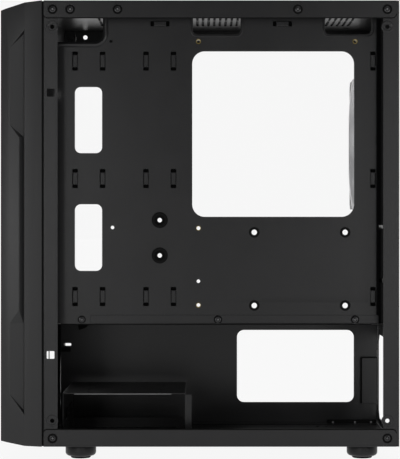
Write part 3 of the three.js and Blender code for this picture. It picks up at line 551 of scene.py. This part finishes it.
def panel_nut_shades():
    """Collars pressed in behind the front holes for the side panels' screws; their black rubber is painted
    shade inside the holes.
    """
    piece = Piece()
    r = PANEL_SCREW_RADIUS
    for side in (-1, 1):
        for z in PANEL_SCREW_ROWS:
            cup = [(0.0, 2.6), (r, 2.6), (r, 0.0), (r + 0.9, 0.0), (r + 0.9, 3.4), (0.0, 3.4)]
            y = side * (FLANGE_Y - SHEET - 0.05)
            piece.lathe([(radius, -side * depth) for radius, depth in cup], "Y", (FRONT_SCREW_X, y, z), 24)
    piece.done("panel_nut_shades", "rubber")


def front_frame():
    piece = Piece()
    openings = [circle(0, z, FRONT_FAN_RADIUS, 64) for z in FRONT_FAN_ROWS]
    half = FAN_PITCH / 2
    for z in FRONT_FAN_ROWS:
        for y in (-half, half):
            openings += [centred(y, z + dz, 4.6, 9.0, 2.2) for dz in (-half, half)]
    openings += [centred(y, z, 16, 6, 2.5) for y in (-70.0, 70.0) for z in (152.5, 300.0)]
    openings.append(centred(0, 330, 60, 22, 4))
    openings.append(rectangle(*LATCH_WINDOW, 1.5, 3))
    outline = rectangle(-FLANGE_Y + SHEET, FLANGE_Y - SHEET, *FLANGE_Z)
    piece.plate("YZ", outline, openings, STEEL_FRONT, SHEET)
    screws = flange_holes(FRONT_SCREW_X, middle("rail_screw_top_1").x)
    lower, upper = [centred(x, z, LATCH, LATCH, 0.6, 2) for x, z in LATCH_HOLES]
    for side in (-1, 1):
        holes = screws + [upper, lower if side < 0 else rectangle(*FAR_LATCH, 0.6, 2)]
        edge = FRONT_HIGH.x - (FAR_FLANGE_CUT if side > 0 else 0)
        flange(piece, side, STEEL_FRONT + SHEET, edge, FLANGE_Z, holes, FRONT_SCREW_X)
        corner = (STEEL_FRONT, side * FLANGE_Y)
        fold(piece, "XY", corner, (1, -side), FLANGE_Z[0], FLANGE_Z[1] - FLANGE_Z[0])
    piece.done("front_frame", "powder_coat", replaces=("front_panel",))


def psu_outline(y0, y1, z0, z1, c):
    return [
        (y0 + c, z0), (y1 - c, z0), (y1, z0 + c), (y1, z1 - c),
        (y1 - c, z1), (y0 + c, z1), (y0, z1 - c), (y0, z0 + c),
    ]


def rear_frame():
    piece = Piece()
    openings = [rectangle(*IO_OPENING), psu_outline(*PSU_OPENING)]
    fan_y, fan_z = (FAN_LOW.y + FAN_HIGH.y) / 2, (FAN_LOW.z + FAN_HIGH.z) / 2
    openings.append(circle(fan_y, fan_z, 57.5, 64))
    half = FAN_PITCH / 2
    for dy in (-half, half):
        openings += [centred(fan_y + dy, fan_z + dz, 4.6, 4.6, 2.2) for dz in (-half, half)]
    y0, y1, height = SLOT_OPENING
    openings += [rectangle(y0, y1, z - height / 2, z + height / 2, 1, 2) for z in SLOT_HEIGHTS]
    openings += [circle(y, z, 2, 12) for y, z in ((54.0, 88.0), (54.0, 25.0), (-84.0, 101.0), (40.0, 101.0))]
    openings += [rectangle(y, y + 4, 112, 193, 1.9, 3) for y in (36.0, 46.0, 56.0, 66.0, 76.0, 86.0)]
    outline = rectangle(-FLANGE_Y + SHEET, FLANGE_Y - SHEET, FLOOR, TOP)
    piece.plate("YZ", outline, openings, REAR - SHEET, SHEET)
    rim(piece, "YZ", rectangle(*IO_OPENING, 0.4, 1), REAR - 2.4, 1.7, 0.5)
    holes = flange_holes(REAR_SCREW_X, middle("rail_screw_top_5").x)
    low = REAR - (FRONT_HIGH.x - STEEL_FRONT) - 1.8
    for side in (-1, 1):
        flange(piece, side, low, REAR - SHEET, (FLOOR + 0.85, TOP - 0.85), holes, REAR_SCREW_X)
        fold(piece, "XY", (REAR, side * FLANGE_Y), (-1, -side), FLOOR, TOP - FLOOR)
    piece.done("rear_frame", "powder_coat", replaces=("rear_panel",))


# ------------------------------------------------------------------ motherboard tray

TRAY_Y = TRAY_LOW.y + 10
TRAY_BOTTOM = TRAY_LOW.z
TRAY_BEND_X = 149.0
TRAY_BEVEL = 4.6
TRAY_JOGGLE = 4.2
CPU_WINDOW = (-6.2, 130.3, 202.9, 342.5, 10.5)
CABLE_WINDOWS = ((-105.2, -82.2, 157.3, 213.5, 5.0), (-105.2, -82.2, 256.6, 312.4, 5.0))
TOP_SLOTS = ((-5.6, 34.5, 356.6, 373.6, 4.0), (105.7, 144.9, 356.6, 373.6, 4.0))
CORNER = (-81.4, 350.2, 7.0)
TIES = [(x, z) for x in (-105.0, -81.8, -45.2, -22.0) for z in (135.7, 235.2, 334.2)]
REAR_TIES = ((146.2, 135.7), (146.2, 235.2), (146.2, 334.2))
FLAT_TIES = ((-33.4, 365.8), (69.9, 365.8))
TIE_LENGTH = 16.0
TIE_WIDTH = 4.6
TIE_HOLE = 2.9
TIE_SLIT = 0.18
TIE_WEB = 0.35
TIE_RISE = 0.6
TIE_DEPTH = 3.4
SSD_HOLES = [(46.1 + i * 76.6, 128.1 + j * 61.72) for i in (0, 1) for j in (0, 1)]
PLAIN_HOLES = ((-1.0, 148.6), (-73.4, 193.9))
BLIND_HOLE = (-74.7, 351.0, 1.4)
STEP_HOLES = (149.0, 194.3)
STEP_HOLE = (151.7, 154.9)
STEP_HOLE_HALF = 1.6
STANDOFFS = [(middle(f"standoff_{i}").x, middle(f"standoff_{i}").z) for i in range(1, 5)]
STANDOFF_BORE = 1.6
GROMMETS = [middle(f"cable_grommet_{i}").z for i in (1, 2)]
GROMMET_X = middle("cable_grommet_1").x
TRAY_SCREWS = [middle(f"tray_screw_{i}").x for i in (1, 2, 3)]
TRAY_SCREW_Z = middle("tray_screw_1").z


def tie_holes(x, z, flat):
    """The two mouths of a cable tie anchor and the slits beside the bridge between them."""
    half = (TIE_LENGTH - TIE_HOLE) / 2
    mouths = [centred(0, side * half, TIE_WIDTH, TIE_HOLE, 0.6, 2) for side in (-1, 1)]
    slit = TIE_LENGTH - 2 * TIE_HOLE - 2 * TIE_WEB
    slits = [centred(side * (TIE_WIDTH - TIE_SLIT) / 2, 0, TIE_SLIT, slit) for side in (-1, 1)]
    return [[(x + v, z + u) if flat else (x + u, z + v) for u, v in hole] for hole in mouths + slits]


def tie_pocket(piece, x, z, flat):
    """The cup behind a cable tie anchor; its black rubber is painted shade in the pocket."""
    across, along = TIE_WIDTH / 2 + 0.4, TIE_LENGTH / 2 + 0.4
    half = (along, across) if flat else (across, along)
    cup = wound(rectangle(x - half[0], x + half[0], z - half[1], z + half[1], 1.6, 4), 1)
    back = TRAY_Y + SHEET
    piece.plate("XZ", cup, [], back + TIE_DEPTH, 0.5)
    piece.sweep("XZ", cup, [(0, 0), (0.5, 0), (0.5, TIE_DEPTH), (0, TIE_DEPTH)], back)


def tie_bridge(piece, x, z, flat):
    """The low bridge pressed out across an anchor."""
    reach = TIE_LENGTH / 2 - TIE_HOLE - 0.2
    half = TIE_WIDTH / 2 - TIE_SLIT
    ridge = [(-half, 0.0), (-0.7 * half, -TIE_RISE), (0.7 * half, -TIE_RISE), (half, 0.0)]
    if flat:
        piece.plate("YZ", [(TRAY_Y + n, z + v) for v, n in ridge], [], x - reach, 2 * reach, 0.05)
    else:
        piece.plate("XY", [(x + u, TRAY_Y + n) for u, n in ridge], [], z - reach, 2 * reach, 0.05)


def tray_outline():
    x, z, r = CORNER
    front, top = TRAY_LOW.x, TOP - SHEET - 0.3
    corner = arc(x - r, z + r, r, 0, -90, 8)
    rear = [(TRAY_BEND_X, TRAY_BOTTOM), (TRAY_BEND_X, top)]
    return [(front, TRAY_BOTTOM)] + rear + [(x, top)] + corner + [(front, z)]


def tray():
    piece = Piece()
    windows = [rectangle(*CPU_WINDOW, 10)] + [rectangle(*window) for window in CABLE_WINDOWS + TOP_SLOTS]
    holes = list(windows)
    for x, z in TIES + list(REAR_TIES):
        holes += tie_holes(x, z, False)
    for x, z in FLAT_TIES:
        holes += tie_holes(x, z, True)
    holes += [circle(x, z, 2.3) for x, z in SSD_HOLES]
    holes += [circle(x, z, 1.5, 14) for x, z in PLAIN_HOLES]
    holes.append(circle(*BLIND_HOLE, 14))
    holes += [circle(x, z, 1.9, 14) for x, z in STANDOFFS]
    holes += [circle(GROMMET_X, z, 5.2, 28) for z in GROMMETS]
    holes += [circle(x, TRAY_SCREW_Z, 2, 12) for x in TRAY_SCREWS]
    piece.plate("XZ", tray_outline(), holes, TRAY_Y, SHEET)
    for window in windows:
        rim(piece, "XZ", window, TRAY_Y + SHEET * 0.5, 2.2)
    pocket_shades = Piece()
    for places, flat in ((TIES + list(REAR_TIES), False), (FLAT_TIES, True)):
        for x, z in places:
            tie_bridge(piece, x, z, flat)
            tie_pocket(pocket_shades, x, z, flat)
    # A black disk behind the blind hole is painted shade.
    x, z, radius = BLIND_HOLE
    pocket_shades.plate("XZ", circle(x, z, radius + 0.4), [], TRAY_Y + SHEET + 0.05, 1.5)
    pocket_shades.done("tie_pocket_shades", "rubber")
    corner_bead(piece)
    for slot in TOP_SLOTS:
        bead(piece, wound(rectangle(*slot), 1), -1.6, 1.3, 0.45)
    tray_edges(piece)
    piece.done("tray_sheet", "powder_coat", replaces=("motherboard_tray",))


def bead(piece, path, side, width, height, closed=True):
    """A soft ridge pressed out towards the cable side."""
    steps = 8
    profile = []
    for i in range(steps + 1):
        t = i / steps
        profile.append((side + (t - 0.5) * width, -height * math.sin(math.pi * t) - 0.02))
    profile.append((side, 0.3))
    piece.sweep("XZ", path, profile, TRAY_Y, closed)


def corner_bead(piece):
    """The raised border of the open upper front corner."""
    x, z, r = CORNER
    path = [(TRAY_LOW.x, z)] + arc(x - r, z + r, r, -90, 0, 12) + [(x, TOP_LOW.z + 4)]
    bead(piece, path, -2.2, 4.6, 1.9, closed=False)


def step_path(start, end):
    """The tray's stepped rear edge between two places along X, seen from above."""
    steps = 10
    path = []
    for i in range(steps + 1):
        t = i / steps
        x = TRAY_BEND_X + TRAY_BEVEL * t
        if start <= x <= end:
            path.append((x, TRAY_Y + TRAY_JOGGLE * t * t * (3 - 2 * t)))
    if end > TRAY_BEND_X + TRAY_BEVEL:
        flat = TRAY_Y + TRAY_JOGGLE
        path += [(max(start, TRAY_BEND_X + TRAY_BEVEL + 0.1), flat), (end, flat)]
    return path


def tray_edges(piece):
    """The stepped rear edge, the front flange and the folded lower edge of the tray."""
    top = TOP - SHEET - 0.3
    levels = [TRAY_BOTTOM]
    for z in STEP_HOLES:
        levels += [z - STEP_HOLE_HALF, z + STEP_HOLE_HALF]
    levels.append(top)
    for i, (low, high) in enumerate(zip(levels, levels[1:])):
        spans = [(TRAY_BEND_X, TRAY_HIGH.x)]
        if i % 2:
            spans = [(TRAY_BEND_X, STEP_HOLE[0]), (STEP_HOLE[1], TRAY_HIGH.x)]
        for start, end in spans:
            piece.bent("XY", step_path(start, end), SHEET, low, high)
    front = TRAY_LOW.x
    piece.block((front, front + SHEET), (TRAY_LOW.y, TRAY_Y + SHEET), (TRAY_BOTTOM, CORNER[1]))
    back = [(CORNER[0], TRAY_Y), (TRAY_BEND_X, TRAY_Y), (TRAY_BEND_X, TRAY_Y + 10), (CORNER[0], TRAY_Y + 10)]
    piece.plate("XY", back, [], top - SHEET, SHEET)
    lip_x = (TRAY_SCREWS[0] + 7.5, TRAY_BEND_X + 2)
    holes = [circle(x, TRAY_SCREW_Z, 3.4, 16) for x in TRAY_SCREWS[1:]]
    lip = rectangle(*lip_x, TRAY_BOTTOM + 0.1, TRAY_BOTTOM + 7.0, 0.8)
    piece.plate("XZ", lip, holes, TRAY_Y - 0.5, 0.45, 0.2)


def tray_fittings():
    """Rings round the drive holes, open through the middle; their black rubber is painted shade in the
    countersinks.
    """
    piece = Piece()
    for x, z in SSD_HOLES:
        y = TRAY_Y
        ring = [(2.3, -0.35), (2.9, -0.6), (3.9, -0.6), (4.4, -0.2), (4.4, 0.0)]
        ring += [(2.6, 0.0), (2.6, 1.2), (2.3, 1.2)]
        piece.lathe(ring, "Y", (x, y, z), 32, closed=True)
    piece.done("drive_hole_ring_shades", "rubber")
    for i, z in enumerate(GROMMETS):
        grommet = Piece()
        outer = [
            (1.9, -0.9), (3.0, -1.1), (3.3, -0.4), (3.9, -0.5),
            (4.4, -1.5), (6.0, -1.6), (6.7, -1.0), (6.7, -0.1),
            (5.1, 0.0), (5.1, 0.8), (6.4, 0.9), (6.4, 1.9), (5.6, 2.3), (1.9, 2.3),
        ]
        grommet.lathe(outer, "Y", (GROMMET_X, TRAY_Y, z), 40, closed=True)
        grommet.done(f"grommet_{i + 1}", "rubber", replaces=(f"cable_grommet_{i + 1}",))
    for i, (x, z) in enumerate(STANDOFFS):
        low, high = [corner.y for corner in span(f"standoff_{i + 1}")]
        standoff = Piece()
        hexagon = arc(x, z, 3.0, 0, 360, 6)[:-1]
        standoff.plate("XZ", hexagon, [circle(x, z, STANDOFF_BORE, 14)], low, high - low, 0.25)
        bore = STANDOFF_BORE
        collar = [(bore, -0.1), (2.1, -0.1), (2.1, 0.0), (1.8, 0.1), (1.8, 1.2), (bore, 1.2)]
        standoff.lathe(collar, "Y", (x, TRAY_Y, z), 24, closed=True)
        standoff.done(f"brass_standoff_{i + 1}", "brass", replaces=(f"standoff_{i + 1}",))


# ------------------------------------------------------------------ shroud and drive cage

WALL_Y = SHROUD_HIGH.y
SHROUD_TOP = FLOOR + 100.9
SHROUD_WINDOW = (34.6, 142.8, 32.4, 99.2, 6.5)
ROOF_NOTCH = (-129.0, -86.0, -60.0, 44.0, 3.0)
WALL_SLOT = (-125.4, -118.9, 84.6, 87.0, 0.8)
LUG = ((149.9, 164.3), 47.7, (31.5, 73.5))
# Patches of painted shadow: one below the wall slot, and a triangle under the lid.
SLOT_SHADOW_PATCH = (-128.4, -119.4, 79.0, 83.2)
TOP_SHADOW_TRIANGLE = [(-112.5, 103.6), (-103.0, 103.6), (-105.0, 101.6), (-111.6, 99.2)]



def shroud():
    piece = Piece()
    x0, x1 = SHROUD_LOW.x, SHROUD_HIGH.x
    lid = rectangle(x0, x1, SHROUD_LOW.y, WALL_Y - SHEET)
    notch_x0, notch_x1, notch_y0, notch_y1, corner = ROOF_NOTCH
    roof = rectangle(notch_x0 + 1.5, notch_x1, notch_y0, notch_y1, corner)
    slots = [centred(x, -62, 26, 6, 2.8, 4) for x in (20.0, 110.0)]
    ties = [centred(x, -10.0, 3, 14, 1.4, 3) for x in (-40.0, 0.0, 60.0, 120.0)]
    piece.plate("XY", lid, [roof] + slots + ties, SHROUD_TOP - SHEET, SHEET)
    fold(piece, "YZ", (WALL_Y, SHROUD_TOP), (-1, -1), x0, x1 - x0)
    foot = FLOOR + SHEET + 0.05
    corner = (x1 - 1.2, 81.0)
    top = SHROUD_TOP - SHEET
    wall = [(x0, foot), (corner[0], foot), corner, (x1, corner[1]), (x1, top), (x0, top)]
    window = rectangle(*SHROUD_WINDOW, 8)
    piece.plate("XZ", wall, [window, rectangle(*WALL_SLOT, 3)], WALL_Y - SHEET, SHEET)
    rim(piece, "XZ", window, WALL_Y - SHEET * 0.5, 1.6)
    flange_y = SHROUD_LOW.y
    lip = rectangle(-117, 145, SHROUD_TOP - SHEET, SHROUD_HIGH.z)
    piece.plate("XZ", lip, [circle(x, TRAY_SCREW_Z, 2.1, 12) for x in TRAY_SCREWS], flange_y, SHEET)
    piece.plate("XY", rectangle(-6, x1 - 2, WALL_Y - 9, WALL_Y - SHEET), [], foot, SHEET)
    lug_x, lug_y, lug_z = LUG
    piece.plate("XZ", rectangle(*lug_x, *lug_z, 1.2, 3), [], lug_y, SHEET)
    piece.block((lug_x[1] - SHEET, lug_x[1]), (lug_y, WALL_Y - SHEET), (lug_z[0] + 1.2, lug_z[1] - 1.2))
    piece.done("shroud_sheet", "powder_coat", replaces=("psu_shroud",))
    # Painted shade: thin black sheets for the shadow below the wall slot, a shadow triangle under the lid,
    # and the shadow lines along the lug's left and top edges.
    shade = Piece()
    shade.plate("XZ", rectangle(*SLOT_SHADOW_PATCH, 0.8, 3), [], WALL_Y - SHEET - 0.2, 0.15, 0.02)
    shade.plate("XZ", TOP_SHADOW_TRIANGLE, [], WALL_Y - 3.0, SHEET)
    behind = lug_y + SHEET + 0.1
    edges = (
        (lug_x[0] - 1.0, lug_x[0] + 0.6, lug_z[0], lug_z[1] + 0.9),
        (lug_x[0], lug_x[1], lug_z[1] - 0.6, lug_z[1] + 0.9),
    )
    for edge in edges:
        shade.plate("XZ", rectangle(*edge, 0.5, 3), [], behind, SHEET)
    shade.done("shroud_shade", "rubber")


CAGE_RIVET = [(0.0, 5.7), (0.7, 5.7), (0.8, 6.1), (0.0, 6.1)]


def cage():
    piece = Piece()
    x0, y0 = CAGE_LOW.x, CAGE_LOW.y
    x1, y1 = CAGE_HIGH.x - 5.5, CAGE_HIGH.y
    base, top = CAGE_LOW.z, CAGE_HIGH.z
    holes = [rectangle(x0 + 13, x1 - 13.7, y1 - 7, y1 - 4, 1.2)]
    for x in (-95.5, -33.8):
        holes += [circle(x + dx, -6, 1.5, 12) for dx in (-2.2, 2.2)]
    holes += [circle(x, y, 1.7, 12) for x in (-95.5, -33.8) for y in (-50.0, -62.0)]
    roof = rectangle(x0 + SHEET, x1 - SHEET, y0, y1)
    piece.plate("XY", roof, holes, top - SHEET, SHEET)
    for x, way in ((x0, 1), (x1, -1)):
        fold(piece, "XZ", (x, top), (way, -1), y0, y1 - y0)
    wall_holes = [centred(y, 33, 34, 9, 3, 4) for y in (-45.0, 0.0)]
    for x in (x0, x1 - SHEET):
        piece.plate("YZ", rectangle(y0, y1, base, top - SHEET), wall_holes, x, SHEET)
    foot = 9.0
    for low in (x0, x1 - foot):
        piece.plate("XY", rectangle(low, low + foot, y0, y1), [], base, SHEET)
    edge = [(x1 - SHEET, y0), (x1 + 5.5, y0), (x1 + 5.5, y0 + SHEET), (x1 - SHEET, y0 + SHEET)]
    piece.plate("XY", edge, [], base, top - 1.2 - base)
    lip = rectangle(x0 + 9.6, x1 - 11.2, top - 1.5, top + 0.0, 0.3, 2)
    piece.plate("XZ", lip, [], y0 - 0.9, 1.6, 0.25)
    piece.block((x0, x1), (y1 - SHEET, y1), (base, base + foot))
    bracket = rectangle(x0 + 3, x0 + 32, base, base + 7)
    piece.plate("XZ", bracket, [], y0 + 6, SHEET)
    piece.plate("XY", rectangle(x0 + 3, x0 + 32, y0 + 6, y0 + 16), [], base + 6.2, SHEET)
    piece.done("cage_sheet", "powder_coat", replaces=("drive_cage",))
    trim = Piece()
    trim.block((x0 + 10, x1 - 11.6), (y0 - 1.05, y0 - 0.75), (top - 1.0, top - 0.35), 0.05)
    for x in (x0 + 9, x0 + 20, x0 + 29):
        trim.lathe(CAGE_RIVET, "Y", (x, y0, base + 3), 14)
    trim.done("cage_trim", "cut_edge_and_highlight")


# ------------------------------------------------------------------ screws


RECESS = 0.56
HEAD_SHADE_RING = (2.0, 4.05)
TRAY_HEAD_SHADE_RING = (2.0, 3.3)


def screw(name, place, side, radius, node):
    """A pan-head screw driven into the case from its side. Its cross recess is painted, not cut: a black
    disk is painted shade and a lighter cross on it a painted highlight.
    """
    piece = Piece()
    crown = 0.25 * radius
    head = [(0.0, -0.25 * crown), (radius * 0.72, -0.22 * crown), (radius * 0.93, crown * 0.25)]
    head.append((radius, crown))
    head += [(radius, crown * 2.2), (radius * 0.5, crown * 2.2), (radius * 0.5, crown * 2.2 + 2.4)]
    head.append((0.0, crown * 2.2 + 2.4))
    piece.lathe([(r, -side * h) for r, h in head], "Y", place, 28)
    piece.done(name, "black_oxide", replaces=(node,))
    # Painted shade: a black disk where the cross recess would be.
    recess = Piece()
    start = place.y + side * 0.24 * crown
    recess.plate("XZ", circle(place.x, place.z, radius * RECESS), [], start, 0.06, 0.01)
    recess.done(f"{name}_recess", "rubber")
    # Painted highlight: a lighter cross on the shaded disk.
    cross = Piece()
    arm, reach = radius * 0.13, radius * RECESS * 0.6
    for across, along in ((arm, reach), (reach, arm)):
        bar = centred(place.x, place.z, 2 * across, 2 * along, arm * 0.6, 2)
        cross.plate("XZ", bar, [], start + side * 0.07, 0.06, 0.01)
    cross.done(f"{name}_cross", "cut_edge_and_highlight")


def head_shade_ring(name, place, side, radii):
    """A black ring under a screw's head, painted shade in the gap round the head."""
    piece = Piece()
    inner, outer = radii
    ring = [(inner, 0.0), (outer, 0.0), (outer, 0.2), (inner, 0.2)]
    piece.lathe([(r, -side * h) for r, h in ring], "Y", place, 32, closed=True)
    piece.done(name, "rubber")


def screws():
    for node in RAIL_SCREWS:
        low, high = span(node)
        place = middle(node)
        side = math.copysign(1, place.y)
        place.y = side * (max(abs(low.y), abs(high.y)) - 0.25)
        screw(node.replace("rail_screw", "rail_head"), place, side, 2.6, node)
        seat = (place.x, side * (SIDE - 0.7), place.z)
        head_shade_ring(node.replace("rail_screw", "rail_head_shade"), seat, side, HEAD_SHADE_RING)
    for i, x in enumerate(TRAY_SCREWS, 1):
        node = f"tray_screw_{i}"
        screw(f"tray_head_{i}", Vector((x, span(node)[0].y + 0.2, TRAY_SCREW_Z)), -1, 2.6, node)
        head_shade_ring(f"tray_head_shade_{i}", (x, TRAY_Y - 0.25, TRAY_SCREW_Z), -1, TRAY_HEAD_SHADE_RING)


# ------------------------------------------------------------------ filters and feet


def woven(name, low, high, border, pitch, strand, replaces, body="chassis"):
    """A dust filter: a soft frame round a woven mesh of crossing strands."""
    x0, y0, x1, y1 = low.x, low.y, high.x, high.y
    thick = min(high.z - low.z, 2.3)
    piece = Piece()
    hole = rectangle(x0 + border, x1 - border, y0 + border, y1 - border, 2, 4)
    piece.plate("XY", rectangle(x0, x1, y0, y1, 4, 5), [hole], low.z, thick, 0.25)
    middle = low.z + thick / 2
    for axis in (0, 1):
        a0, a1 = (x0, x1) if axis == 0 else (y0, y1)
        b0, b1 = (y0 + border - 1, y1 - border + 1) if axis == 0 else (x0 + border - 1, x1 - border + 1)
        count = int((a1 - a0 - 2 * border) / pitch)
        for i in range(count):
            at = a0 + border + (i + 0.5) * pitch
            z = middle + (strand / 2 if axis else -strand / 2)
            u = (at - strand / 2, at + strand / 2)
            x, y = (u, (b0, b1)) if axis == 0 else ((b0, b1), u)
            corners = [(a, b, c) for c in (z - strand / 2, z + strand / 2) for b in y for a in x]
            faces = [(0, 1, 3, 2), (4, 6, 7, 5), (0, 4, 5, 1), (2, 3, 7, 6), (0, 2, 6, 4), (1, 5, 7, 3)]
            piece.shell(corners, faces)
    return piece.done(name, "nylon", body=body, replaces=replaces)


def filters():
    woven("top_filter", TOP_FILTER_LOW, TOP_FILTER_HIGH, 6.0, 1.6, 0.45, ("top_dust_filter",))
    low = Vector((PSU_FILTER_LOW.x, PSU_FILTER_LOW.y + 4, PSU_FILTER_LOW.z))
    body = frame["nodes"]["psu_dust_filter"]["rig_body"]
    woven("psu_filter", low, PSU_FILTER_HIGH, 5.0, 1.8, 0.5, ("psu_dust_filter",), body)
    grip = Piece()
    middle = (PSU_FILTER_LOW.x + PSU_FILTER_HIGH.x) / 2
    y = (PSU_FILTER_LOW.y, PSU_FILTER_LOW.y + 5)
    grip.block((middle - 14, middle + 14), y, (PSU_FILTER_LOW.z, PSU_FILTER_HIGH.z), 0.5)
    grip.done("psu_filter_grip", "nylon", body=body)


def feet():
    for end in ("front", "rear"):
        for side in ("near", "far"):
            node, pad = f"foot_{end}_{side}", f"foot_pad_{end}_{side}"
            low, high = span(node)
            x, y = (low.x + high.x) / 2, (low.y + high.y) / 2
            r = (high.y - low.y) / 2
            piece = Piece()
            side_wall = [(r - 0.25, high.z), (r, high.z - 0.4)]
            curve = arc(r - 3.2, low.z + 3.2, 3.2, 0, -90, 8)
            piece.lathe([(0.0, high.z)] + side_wall + curve + [(0.0, low.z)], "Z", (x, y, 0), 56)
            piece.done(f"foot_cup_{end}_{side}", "gloss_black", replaces=(node,))
            base, top = span(pad)
            radius = (top.y - base.y) / 2
            rubber = Piece()
            inside = top.z + 0.25
            profile = [(0.0, base.z), (radius - 0.6, base.z), (radius, base.z + 0.5)]
            profile += [(radius, inside), (0.0, inside)]
            rubber.lathe(profile, "Z", (x, y, 0), 40)
            rubber.done(f"foot_rubber_{end}_{side}", "rubber", replaces=(pad,))


# ------------------------------------------------------------------ bezel, controls, fan, slot covers


def bezel():
    # Black strips in the gap between the bezel and the steel are painted shade.
    gap_shade = Piece()
    for side in (-1, 1):
        y = sorted((side * (SIDE - 1.1), side * (SIDE - 2.1)))
        gap_shade.block((BEZEL_HIGH.x - 1.2, STEEL_FRONT - 0.05), y, (FLOOR + 0.3, TOP - 0.5), 0.1)
    gap_shade.done("bezel_gap_shade", "rubber")
    softened("front_bezel", "moulded", 0.45, segments=3, angle=12, name="bezel_shell")
    for node, material, width in (
        ("io_housing", "satin_black", 0.4),
        ("power_button", "satin_black", 0.6),
        ("reset_button", "satin_black", 0.5),
        ("usb_port_1", "nickel", 0.12),
        ("usb_port_2", "nickel", 0.12),
        ("usb_port_3", "nickel", 0.12),
        ("headphone_jack", "gloss_black", 0.2),
        ("microphone_jack", "gloss_black", 0.2),
        ("power_led", "clear", 0.2),
        ("io_board", "board", 0.1),
    ):
        softened(node, material, width)


def fan():
    softened("fan_frame", "satin_black", 0.5)
    softened("fan_light_ring", "frosted", 0.25)
    softened("fan_rotor", "frosted", 0.25)
    softened("fan_shaft", "nickel", 0.1)
    softened("fan_bearing", "brass", 0.1)


def covers():
    for i in range(1, 5):
        softened(f"slot_cover_{i}", "powder_coat", 0.15)
    softened("slot_screw_rail", "powder_coat", 0.15)


# ------------------------------------------------------------------ stage, light and camera

BACKGROUND = 0.925
FRONT_WORLD = 0.06
SOFTBOXES = (("left", -1, 3.5), ("right", 1, 2.1))
SIDE_LIGHT = 0.36
TOP_LIGHT = 1.2
CAMERA_DISTANCE = 1448.5
CAMERA_HEIGHT = 192.2
CAMERA_SIDE = 0.35
LENS = 127.1


def stage():
    """A pale floor, lit evenly from within."""
    material = bpy.data.materials.new("pale_floor")
    material.use_nodes = True
    nodes, links = material.node_tree.nodes, material.node_tree.links
    shader = nodes["Principled BSDF"]
    shader.inputs["Base Color"].default_value = (0.05, 0.05, 0.05, 1)
    shader.inputs["Roughness"].default_value = 0.9
    shader.inputs["Specular IOR Level"].default_value = 0.0
    shader.inputs["Emission Color"].default_value = (1, 1, 1, 1)
    shader.inputs["Emission Strength"].default_value = BACKGROUND * 0.985
    bm = bmesh.new()
    bmesh.ops.create_grid(bm, x_segments=1, y_segments=1, size=30)
    mesh = bpy.data.meshes.new("pale_floor")
    bm.to_mesh(mesh)
    bm.free()
    floor = bpy.data.objects.new("pale_floor", mesh)
    bpy.context.scene.collection.objects.link(floor)
    mesh.materials.append(material)
    floor.location.z = CASE_LOW.z * MM - 0.0005


def area_light(name, place, target, size, watts):
    light = bpy.data.lights.new(name, "AREA")
    light.shape = "RECTANGLE"
    light.size, light.size_y = size
    light.energy = watts
    obj = bpy.data.objects.new(name, light)
    obj.location = place
    way = Vector(target) - Vector(place)
    obj.rotation_euler = way.to_track_quat("-Z", "Y").to_euler()
    bpy.context.scene.collection.objects.link(obj)


def light():
    """A white studio whose light is dimmer from the cable side, with soft lights round the case."""
    world = bpy.data.worlds.new("studio")
    world.use_nodes = True
    nodes, links = world.node_tree.nodes, world.node_tree.links
    place = nodes.new("ShaderNodeTexCoord")
    parts = nodes.new("ShaderNodeSeparateXYZ")
    links.new(place.outputs["Generated"], parts.inputs[0])
    strength = nodes.new("ShaderNodeMapRange")
    strength.interpolation_type = "SMOOTHSTEP"
    strength.inputs["From Min"].default_value = -0.6
    strength.inputs["From Max"].default_value = 0.4
    strength.inputs["To Min"].default_value = FRONT_WORLD
    strength.inputs["To Max"].default_value = BACKGROUND
    links.new(parts.outputs["Y"], strength.inputs["Value"])
    background = nodes["Background"]
    background.inputs["Color"].default_value = (1, 1, 1, 1)
    seen = nodes.new("ShaderNodeLightPath")
    backdrop = nodes.new("ShaderNodeMath")
    backdrop.operation = "MULTIPLY"
    backdrop.inputs[1].default_value = BACKGROUND
    links.new(seen.outputs["Is Camera Ray"], backdrop.inputs[0])
    brighter = nodes.new("ShaderNodeMath")
    brighter.operation = "MAXIMUM"
    links.new(backdrop.outputs[0], brighter.inputs[0])
    links.new(strength.outputs[0], brighter.inputs[1])
    links.new(brighter.outputs[0], background.inputs["Strength"])
    bpy.context.scene.world = world
    for name, side, watts in SOFTBOXES:
        area_light(f"{name}_softbox", (side * 0.52, -1.6, 0.22), (side * 0.05, 0, 0.19), (0.3, 0.8), watts)
        area_light(f"{name}_strip", (side * 0.4, -0.4, 0.2), (side * 0.13, 0, 0.19), (0.1, 0.2), SIDE_LIGHT)
    area_light("top_softbox", (0.3, -0.9, 1.1), (-0.1, 0, 0.15), (0.7, 0.4), TOP_LIGHT)


def camera():
    data = bpy.data.cameras.new("camera")
    data.lens = LENS
    data.sensor_width = 36
    data.clip_end = 100
    obj = bpy.data.objects.new("camera", data)
    obj.location = (CAMERA_SIDE * MM, -CAMERA_DISTANCE * MM, CAMERA_HEIGHT * MM)
    obj.rotation_euler = (math.pi / 2, 0, 0)
    bpy.context.scene.collection.objects.link(obj)
    bpy.context.scene.camera = obj
    bpy.context.scene.view_settings.view_transform = "Standard"


camera()
stage()
light()
floor_panel()
top_panel()
front_frame()
rear_frame()
panel_nut_shades()
tray()
tray_fittings()
shroud()
cage()
screws()
filters()
feet()
bezel()
fan()
covers()
